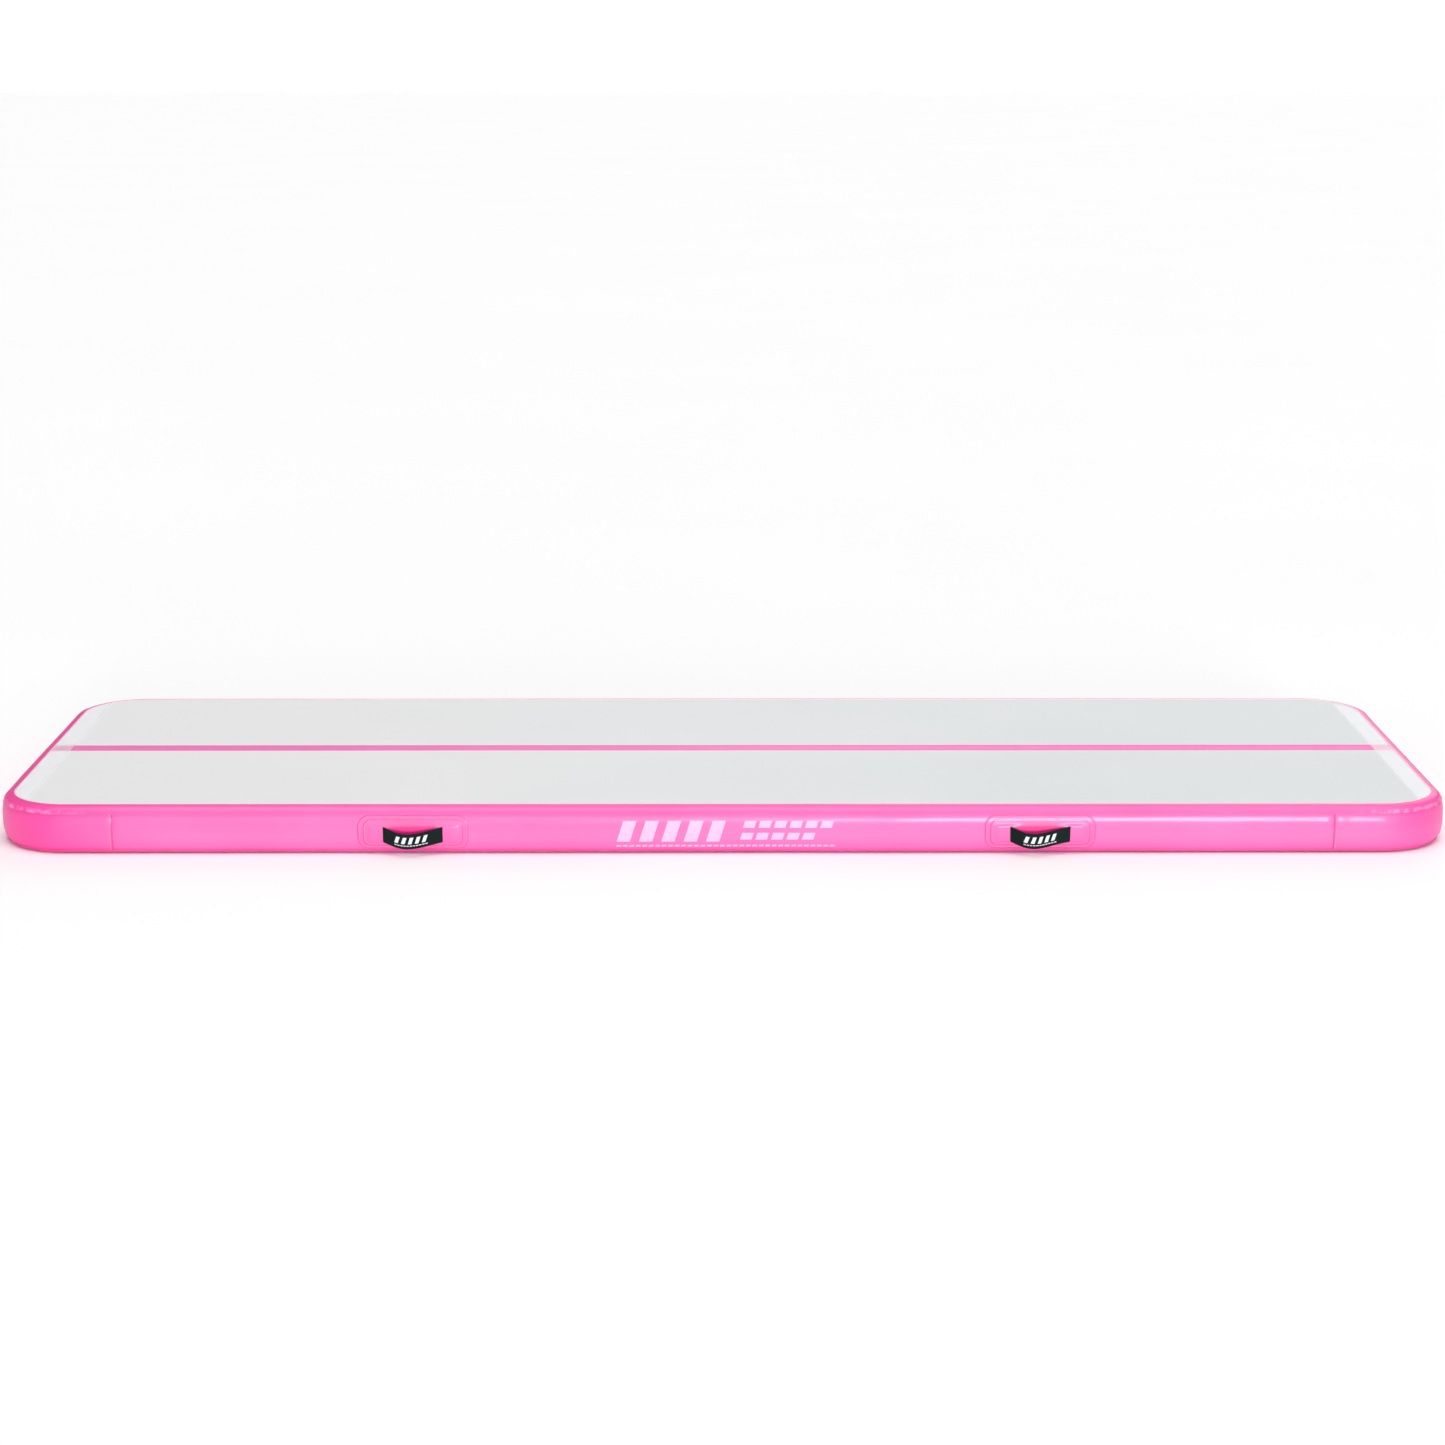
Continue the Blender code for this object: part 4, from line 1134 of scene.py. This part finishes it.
def strap_course(u, lean):
    """(lift, rise) of the strap's middle at u: flat under the cover, bowed out between its slots."""
    inside = min(abs(u - lean * math.cos(math.pi * u / (2 * STRAP_HALF_SPAN))) / STRAP_HALF_SPAN, 1)
    rise = STRAP_BOW * math.cos(math.pi * inside / 2) ** 1.12 if abs(u) < STRAP_HALF_SPAN else 0
    lift = STRAP_LIFT + (LEAVE_LIFT - STRAP_LIFT) * (1 - smooth(abs(u), 0.0570, 0.0620))
    return lift, rise


def strap_point(side, u, v, above, lean):
    """A point on the strap: v is across it, and above is off its middle."""
    lift, rise = strap_course(u, lean)
    ahead, ahead_rise = strap_course(u + 0.0005, lean)
    slope = (ahead_rise + ahead - lift - rise) / 0.0005
    tilt = 1 / math.sqrt(1 + slope * slope)
    out, z = skin_point(v - STRAP_DROP, lift + above * tilt)
    return side.place(
        u - above * slope * tilt, out + rise * math.cos(STRAP_DROOP), z - rise * math.sin(STRAP_DROOP)
    )


def strap_lengths(lean, step):
    """(u, length along the strap) at even steps along its course."""
    end = STRAP_HALF_SPAN + STRAP_TAIL
    found, travelled, last = [], 0.0, None
    fine = 4000
    for i in range(fine + 1):
        u = end * (2 * i / fine - 1)
        here = Vector((u, sum(strap_course(u, lean))))
        travelled += 0 if last is None else (here - last).length
        last = here
        if not found or travelled - found[-1][1] >= step or i == fine:
            found.append((u, travelled))
    return found


def make_strap(name, side, lean):
    """The webbing, with its ribs and picks raised on both faces and a corded selvedge."""
    across = 40
    half = STRAP_THICKNESS / 2
    profile = []
    for face in (1, -1):
        for j in range(across + 1):
            v = face * STRAP_WIDTH / 2 * (1 - 2 * j / across)
            profile.append((v, face))
    points, faces, maps = [], [], []
    spots = strap_lengths(lean, 0.0007)
    for i, (u, length) in enumerate(spots):
        for v, face in profile:
            edge = smooth(STRAP_WIDTH / 2 - abs(v), 0, 0.0016)
            relief = 0.00009 * math.cos(2 * math.pi * v / 0.003) * math.cos(2 * math.pi * length / 0.0042)
            height = half * (0.35 + 0.65 * math.sqrt(edge)) + relief * edge
            points.append(strap_point(side, u, v, face * height, lean))
            maps.append((length, v))
    size = len(profile)
    for i in range(len(spots) - 1):
        faces += ring_faces(i * size, (i + 1) * size, size)
    last = (len(spots) - 1) * size
    for first in (0, last):
        for k in range(across):
            faces.append((first + k, first + k + 1, first + size - 2 - k, first + size - 1 - k))
    piece = piece_of(name, points, faces, "black_webbing")
    return shaded(mapped(piece, "strap", maps), 60)


def strap_marks(name, side, lean):
    """The woven motif: five slanted bars over a broken line, raised a thread above the webbing."""
    rows = (
        {"Count": 5, "Pitch": 0.0138, "Width": 0.0072, "Height": 0.0132, "Slant": 0.35, "v": 0.0018},
        {"Count": 11, "Pitch": 0.0062, "Width": 0.0046, "Height": 0.0016, "Slant": 0.0, "v": -0.0088},
    )
    off_centre, raised = 0.002, 0.00012
    made = []
    for i, row in enumerate(rows):
        v = row.pop("v")
        piece = grown(f"{name}_{i}", MARKS, Thickness=0.00022, Finish=FINISH["white_thread"], **row)
        middle = row["Pitch"] * (row["Count"] - 1) / 2 + off_centre
        mapped(piece, "strap", [point.co.xy for point in piece.data.vertices])
        for point in piece.data.vertices:
            above = STRAP_THICKNESS / 2 + raised + point.co.z
            point.co = strap_point(side, point.co.x - middle, v + point.co.y, above, lean)
        made.append(piece)
    return joined(name, made)


def joined(name, parts):
    """Several plain pieces as one."""
    work = bmesh.new()
    for part in parts:
        work.from_mesh(part.data)
    mesh = bpy.data.meshes.new(name)
    for finish in parts[0].data.materials:
        mesh.materials.append(finish)
    work.to_mesh(mesh)
    work.free()
    for part in parts:
        bpy.data.objects.remove(part)
    piece = linked(name, mesh)
    return shaded(piece, 50)


def make_handle_patches(place, side):
    """The base patch, and the cover patch with a window for each end of the strap."""
    reach = STRAP_WIDTH / 2 + 0.0008
    window = (-STRAP_DROP - reach, -STRAP_DROP + reach)
    near, far = 0.0570, STRAP_HALF_SPAN + 0.0002
    windows = [(-far, -near, *window), (near, far, *window)]
    middle = -PATCH_DROP
    base = patch_sheet(f"handle_base_{place}", side, BASE_PATCH, middle, flush, "patch_pink")
    own(base, "mat", "patch_pink", f"handle_base_patch_{place}")
    name = f"handle_cover_{place}"
    cover = patch_sheet(name, side, COVER_PATCH, middle, cover_lift, "cover_pink", windows)
    own(cover, "mat", "patch_pink", f"handle_cover_patch_{place}")


def hang_strap(place, side, lean):
    """The strap and its motif, made in place at the handle; the frame's grip and legs are hidden."""
    strap = make_strap(f"handle_strap_{place}", side, lean)
    marks = strap_marks(f"handle_motif_{place}", side, lean)
    out = skin_point(-STRAP_DROP, LEAVE_LIFT).x
    start, stop = side.place(0, out + 0.0015, MID), side.place(0, out + 0.0150, MID)
    for piece in (strap, marks):
        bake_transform(piece)
    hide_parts(*[f"handle_{part}_{place}" for part in ("grip", "leg_a", "leg_b")])


def make_handles():
    leans = {"front_left": -0.0085, "front_right": -0.0160, "rear_left": 0.006, "rear_right": 0.003}
    for end in ("left", "right"):
        low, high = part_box(f"handle_grip_front_{end}")
        for sy, face in ((-1, "front"), (1, "rear")):
            place = f"{face}_{end}"
            side = Side((low.x + high.x) / 2, sy * EDGE_Y, (-sy, 0), (0, sy))
            make_handle_patches(place, side)
            hang_strap(place, side, leans[place])


# ---------------------------------------------------------------- print


def make_print():
    """Generic bars and dashes in pale ink at the middle of the front wall."""
    side = Side(0, -EDGE_Y, (1, 0), (0, -1))
    rows = (  # count, pitch, width, height, and where the first mark's middle lies along and up the wall
        (5, 0.0455, 0.0270, 0.0440, -0.197, -0.0010),
        (6, 0.0315, 0.0235, 0.0145, 0.054, 0.0135),
        (5, 0.0315, 0.0235, 0.0145, 0.048, -0.0115),
        (34, 0.0132, 0.0096, 0.0042, -0.213, -0.0325),
    )
    made = []
    for i, (count, pitch, width, height, u, s) in enumerate(rows):
        piece = grown(
            f"print_row_{i}",
            MARKS,
            Count=count,
            Pitch=pitch,
            Width=width,
            Height=height,
            Thickness=0.00008,
            Slant=0.32,
            Finish=FINISH["pale_print"],
        )
        for point in piece.data.vertices:
            point.co = side.on_skin(u + point.co.x, s + point.co.y, 0.00006 + point.co.z)
        made.append(piece)
    piece = joined("side_print", made)
    settle(piece.data)
    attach(piece, "mat")


# ---------------------------------------------------------------- valve


def turned(name, profile, finish, steps=96, middle=(0, 0)):
    """A turned piece on an X axis. profile is a closed loop of (radius, x from the mat's end)."""
    points, rings = [], []
    for i in range(steps):
        turn = 2 * math.pi * i / steps
        ring = []
        for n, (radius, x) in enumerate(profile):
            if radius == 0 and i > 0:
                ring.append(rings[0][n])
                continue
            ring.append(len(points))
            y, z = middle[0] + radius * math.sin(turn), VALVE_Z + middle[1] + radius * math.cos(turn)
            points.append((VALVE_X + (x(y, z) if callable(x) else x), y, z))
        rings.append(ring)
    faces = []
    for i in range(steps):
        here, there = rings[i], rings[(i + 1) % steps]
        for n in range(len(profile)):
            m = (n + 1) % len(profile)
            face = list(dict.fromkeys((here[n], here[m], there[m], there[n])))
            if len(face) > 2:
                faces.append(face)
    return shaded(piece_of(name, points, faces, finish), 35)


def rod(name, radius, low, high):
    return turned(name, [(0, low), (radius, low), (radius, high), (0, high)], "valve_grey")


def on_wall(lift):
    """x of the end wall at a height, lifted off its outer face."""

    def x(y, z):
        height = z - VALVE_Z
        s = height
        for _ in range(4):
            s += height - (skin_point(s, lift).y - VALVE_Z)
        return skin_point(s, lift).x - BULGE

    return x


def fillet(points, radius, steps=4):
    """A closed profile with each corner that is marked 1 rounded: points are (radius, x, mark)."""
    found = []
    count = len(points)
    for i, (r, x, mark) in enumerate(points):
        if not mark or callable(x):
            found.append((r, x))
            continue
        here = Vector((r, x))
        ends = []
        for other in (points[i - 1], points[(i + 1) % count]):
            towards = Vector((other[0], here.y if callable(other[1]) else other[1])) - here
            ends.append(here + towards.normalized() * min(radius, towards.length * 0.45))
        for k in range(steps + 1):
            share = k / steps
            bend = ends[0].lerp(here, share).lerp(here.lerp(ends[1], share), share)
            found.append((bend.x, bend.y))
    return found


def make_valve_patch():
    side = Side(EDGE_X, 0, (0, 1), (1, 0))
    patch = patch_sheet("valve_patch_skin", side, VALVE_PATCH, 0, flush, "valve_patch_pink")
    cut(patch, rod("patch_hole", 0.0196, -0.02, 0.02))
    own(shaded(patch), "mat", "patch_pink", "valve_patch")


def make_valve_flange():
    """Flange and barrel: the flange's foot follows the curved wall."""
    foot = on_wall(0.0010)
    profile = fillet(
        [
            (0.0140, -0.0300, 1),
            (0.0190, -0.0300, 1),
            (0.0190, -0.0060, 0),
            (0.0300, foot, 0),
            (0.0300, 0.0048, 1),
            (0.0272, 0.0052, 1),
            (0.0256, 0.0044, 1),
            (0.0254, 0.0015, 1),
            (0.0160, 0.0015, 1),
            (0.0160, -0.0280, 1),
            (0.0140, -0.0280, 0),
        ],
        0.0009,
    )
    flange = turned("valve_flange_moulding", profile, "valve_pale", 128)
    own(flange, "mat", "valve_pale", "valve_flange")


def star(count, hub, tip, power):
    """(y, z) outline of a grip whose arms run out to tip and draw in to hub between them."""
    outline = []
    for i in range(count):
        turn = 2 * math.pi * i / count
        arm = ((1 + math.cos(3 * (turn - math.radians(60)))) / 2) ** power
        outline.append((hub + (tip - hub) * arm, turn))
    return outline


def make_cap():
    """Cap: a dished disc with a three-armed grip and a post, run together with moulded fillets."""
    disc = fillet(
        [
            (0, 0.0033, 0),
            (0.0138, 0.0033, 0),
            (0.0138, -0.0035, 1),
            (0.0155, -0.0035, 1),
            (0.0155, 0.0031, 0),
            (0.0249, 0.0031, 1),
            (0.0249, 0.0062, 1),
            (0.0215, 0.0066, 1),
            (0.0195, 0.0056, 1),
            (0, 0.0056, 0),
        ],
        0.0008,
    )
    parts = [turned("cap_disc", disc, "valve_grey", 96)]
    count = 120
    points = []
    for x, shrink in ((0.0040, 1.0), (0.0118, 0.94), (0.0128, 0.86)):
        for radius, turn in star(count, 0.0052, 0.0208, 3.2):
            reach = radius * shrink
            points.append((VALVE_X + x, reach * math.sin(turn), VALVE_Z + reach * math.cos(turn)))
    faces = [tuple(range(count)), tuple(range(3 * count - 1, 2 * count - 1, -1))]
    for level in (0, count):
        faces += ring_faces(level, level + count, count)
    parts.append(piece_of("cap_grip", points, faces, "valve_grey"))
    post = [(0, 0.006), (0.0030, 0.006), (0.0030, 0.0160), (0, 0.0160)]
    parts.append(turned("cap_post", post, "valve_grey", 32))
    cap = joined("valve_cap_moulding", parts)
    remesh = cap.modifiers.new("Fuse", "REMESH")
    remesh.mode = "VOXEL"
    remesh.voxel_size = 0.00042
    soften = cap.modifiers.new("Soften", "SMOOTH")
    soften.factor = 0.5
    soften.iterations = 5
    plain(cap)
    cap.data.shade_smooth()
    own(cap, "cap", "valve_grey", "valve_cap")


def make_tether_ring():
    low, high = 0.0133, 0.0149
    ring = fillet([(0.0034, low, 1), (0.0062, low, 1), (0.0062, high, 1), (0.0034, high, 1)], 0.0005)
    ring = turned("tether_ring_moulding", ring, "tether_plastic", 64)
    own(ring, "tether_ring", "tether_plastic", "tether_swivel")


def make_tether_strap():
    """An arched strap from the ring to its stud."""
    side_way = Vector((0, TETHER_WAY.z, -TETHER_WAY.y))
    middle = Vector((VALVE_X, 0, VALVE_Z))
    first, last, past_rim = 0.0055, STUD_OUT - 0.0026, 0.0258
    low_end, high_end, arch = 0.0036, 0.0141, 0.012
    count, around = 60, 16
    points, faces = [], []
    for i in range(count + 1):
        share = i / count
        level = high_end + (low_end - high_end) * share + arch * math.sin(math.pi * share)
        slope = (low_end - high_end + arch * math.pi * math.cos(math.pi * share)) / (last - first)
        tilt = 1 / math.sqrt(1 + slope * slope)
        half = 0.0021 + 0.0005 * (2 * share - 1) ** 4
        for k in range(around):
            bend = 2 * math.pi * k / around
            wide = math.copysign(abs(math.cos(bend)) ** 0.6, math.cos(bend)) * half
            thick = math.copysign(abs(math.sin(bend)) ** 0.6, math.sin(bend)) * 0.0006
            out = first + (last - first) * share - thick * slope * tilt
            points.append(middle + TETHER_WAY * out + side_way * wide + Vector((level + thick * tilt, 0, 0)))
    for i in range(count):
        faces += ring_faces(i * around, (i + 1) * around, around)
    faces += [tuple(range(around)), tuple(range(count * around, (count + 1) * around))]
    strap = piece_of("tether_strap_moulding", points, faces, "tether_plastic")
    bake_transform(strap)
    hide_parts("tether_strap")


def make_tether_stud():
    spot = TETHER_WAY * STUD_OUT
    foot = on_wall(0.0010)
    stud = [(0, foot, 0), (0.0032, foot, 0), (0.0032, 0.0036, 1), (0.0022, 0.0048, 1), (0, 0.0048, 0)]
    anchor = turned("tether_stud", fillet(stud, 0.0008), "tether_plastic", 40, (spot.y, spot.z))
    own(anchor, "mat", "tether_plastic", "tether_anchor")


def make_button():
    """The three-lobed button under the cap, with a thumb dish."""
    count = 96
    points, levels = [], []
    steps = ((-0.0095, 0.97), (-0.0092, 1.0), (-0.0056, 1.0), (-0.0051, 0.95), (-0.0050, 0.88), (-0.0060, 0.55))
    for x, share in steps:
        levels.append(len(points))
        for i in range(count):
            turn = 2 * math.pi * i / count
            radius = (0.0068 + 0.0016 * math.cos(3 * turn)) * share
            points.append((VALVE_X + x, radius * math.sin(turn), VALVE_Z + radius * math.cos(turn)))
    faces = [tuple(range(count)), tuple(range(levels[-1], levels[-1] + count))]
    for low, high in zip(levels, levels[1:]):
        faces += ring_faces(low, high, count)
    button = piece_of("valve_button_moulding", points, faces, "valve_grey")
    cut(button, rod("button_socket", 0.0033, -0.012, -0.0069))
    own(shaded(button, 30), "button", "valve_grey", "valve_button")


def make_spring():
    """The return spring under the button: round wire with a closed turn at each end."""
    wire, radius, turns, per_turn = 0.00047, 0.0046, 4, 40
    low, high = -0.0192, -0.0103
    closed = 0.75  # turns at each end that lie against the next
    points = []
    for i in range(turns * per_turn + 1):
        made = i / per_turn
        free = min(max(made - closed, 0), turns - 2 * closed)
        pitch = (high - low - 2 * closed * 2 * wire) / (turns - 2 * closed)
        rise = free * pitch + (made - free) * 2 * wire
        turn = 2 * math.pi * made
        points.append((VALVE_X + low + rise, radius * math.sin(turn), VALVE_Z + radius * math.cos(turn)))
    turns_round = [math.pi * k / 6 for k in range(12)]
    section = [(wire * math.cos(turn), wire * math.sin(turn), 0) for turn in turns_round]
    spring = carried("valve_spring_coil", points, section, False, "spring_steel", twist="MINIMUM")
    turn_outward(spring.data)
    shaded(spring, 50)
    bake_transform(spring)
    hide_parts("valve_spring")


def finish_inner_pieces():
    """The frame's own inner pieces keep their shape and take the node materials."""
    slots = {item["node"]: item["material_slot"] for item in frame["record"]["subparts"]}
    for name, thing in frame["nodes"].items():
        if thing.hide_render:
            continue
        thing.data.materials.clear()
        thing.data.materials.append(FINISH[slots[name]])


# ---------------------------------------------------------------- studio


def area_light(name, place, target, size, power):
    data = bpy.data.lights.new(name, "AREA")
    data.shape = "RECTANGLE"
    data.size, data.size_y = size
    data.energy = power
    light = linked(name, data)
    light.location = place
    light.rotation_euler = (Vector(target) - Vector(place)).to_track_quat("-Z", "Y").to_euler()
    light.visible_camera = False
    return light


def sun_light(name, azimuth, elevation, width, power):
    """A broad, distant light from an azimuth in degrees right of the front."""
    data = bpy.data.lights.new(name, "SUN")
    data.angle = math.radians(width)
    data.energy = power
    light = linked(name, data)
    light.rotation_euler = (math.radians(90 - elevation), 0, math.radians(azimuth))
    return light


def make_camera():
    scene = bpy.context.scene
    scene.view_settings.view_transform = "Standard"
    camera = bpy.data.cameras.new("camera")
    camera.lens = 72.98
    camera.sensor_width = 36
    camera.clip_end = 200
    eye = linked("camera", camera)
    eye.location = (-0.0165, -6.2458, 1.6622)
    eye.rotation_euler = (math.pi / 2 - 0.2365, 0, -0.0026)
    scene.camera = eye


def make_lights():
    """A pale surround, brighter in front than behind, three broad suns and a narrow strip."""
    world = bpy.data.worlds.new("studio")
    bpy.context.scene.world = world
    world.use_nodes = True
    tree = world.node_tree
    tree.nodes.clear()
    facing = node(tree, "ShaderNodeTexCoord").outputs["Generated"]
    ahead = ranged(tree, axes(tree, facing)["Y"], -1.0, 1.0, 0.66, 0.18)
    soft = node(tree, "ShaderNodeBackground", {"Color": (1, 1, 1, 1), "Strength": ahead})
    wall = node(tree, "ShaderNodeBackground", {"Color": (1, 1, 1, 1), "Strength": 1.0})
    seen = node(tree, "ShaderNodeLightPath").outputs["Is Camera Ray"]
    inputs = {0: seen, 1: soft.outputs[0], 2: wall.outputs[0]}
    mixed = node(tree, "ShaderNodeMixShader", inputs)
    node(tree, "ShaderNodeOutputWorld", {"Surface": mixed.outputs[0]})

    sun_light("front_light", azimuth=8, elevation=2, width=12, power=2.15)
    sun_light("top_light", azimuth=15, elevation=80, width=50, power=1.5)
    sun_light("rear_light", azimuth=165, elevation=28, width=40, power=0.65)
    area_light("strip", (2.25, -6.3, 1.12), (1.1, -0.5, 0.07), (0.9, 0.12), 32)


def make_floor():
    size = 60
    floor = linked("floor", bpy.data.meshes.new("floor"))
    corners = [(-size, -size, 0), (size, -size, 0), (size, size, 0), (-size, size, 0)]
    floor.data.from_pydata(corners, [], [(0, 1, 2, 3)])
    floor.location.z = -0.0003
    made, tree, shader, place = new_material("pale_floor")
    tone = noise_at(tree, place, 0.6, 2.0)
    plug(
        tree,
        shader,
        Base_Color=ramp(tree, tone, [(0.2, (0.965, 0.965, 0.965)), (0.8, (0.985, 0.985, 0.985))]),
        Roughness=0.9,
        Specular_IOR_Level=0.1,
    )
    floor.data.materials.append(made)


make_camera()
make_lights()
make_floor()
make_walls()
make_tapes()
make_deck_halves()
make_centre_line()
make_end_films()
make_base()
make_handles()
make_print()
make_valve_patch()
make_valve_flange()
make_cap()
make_tether_ring()
make_tether_strap()
make_tether_stud()
make_button()
make_spring()
finish_inner_pieces()
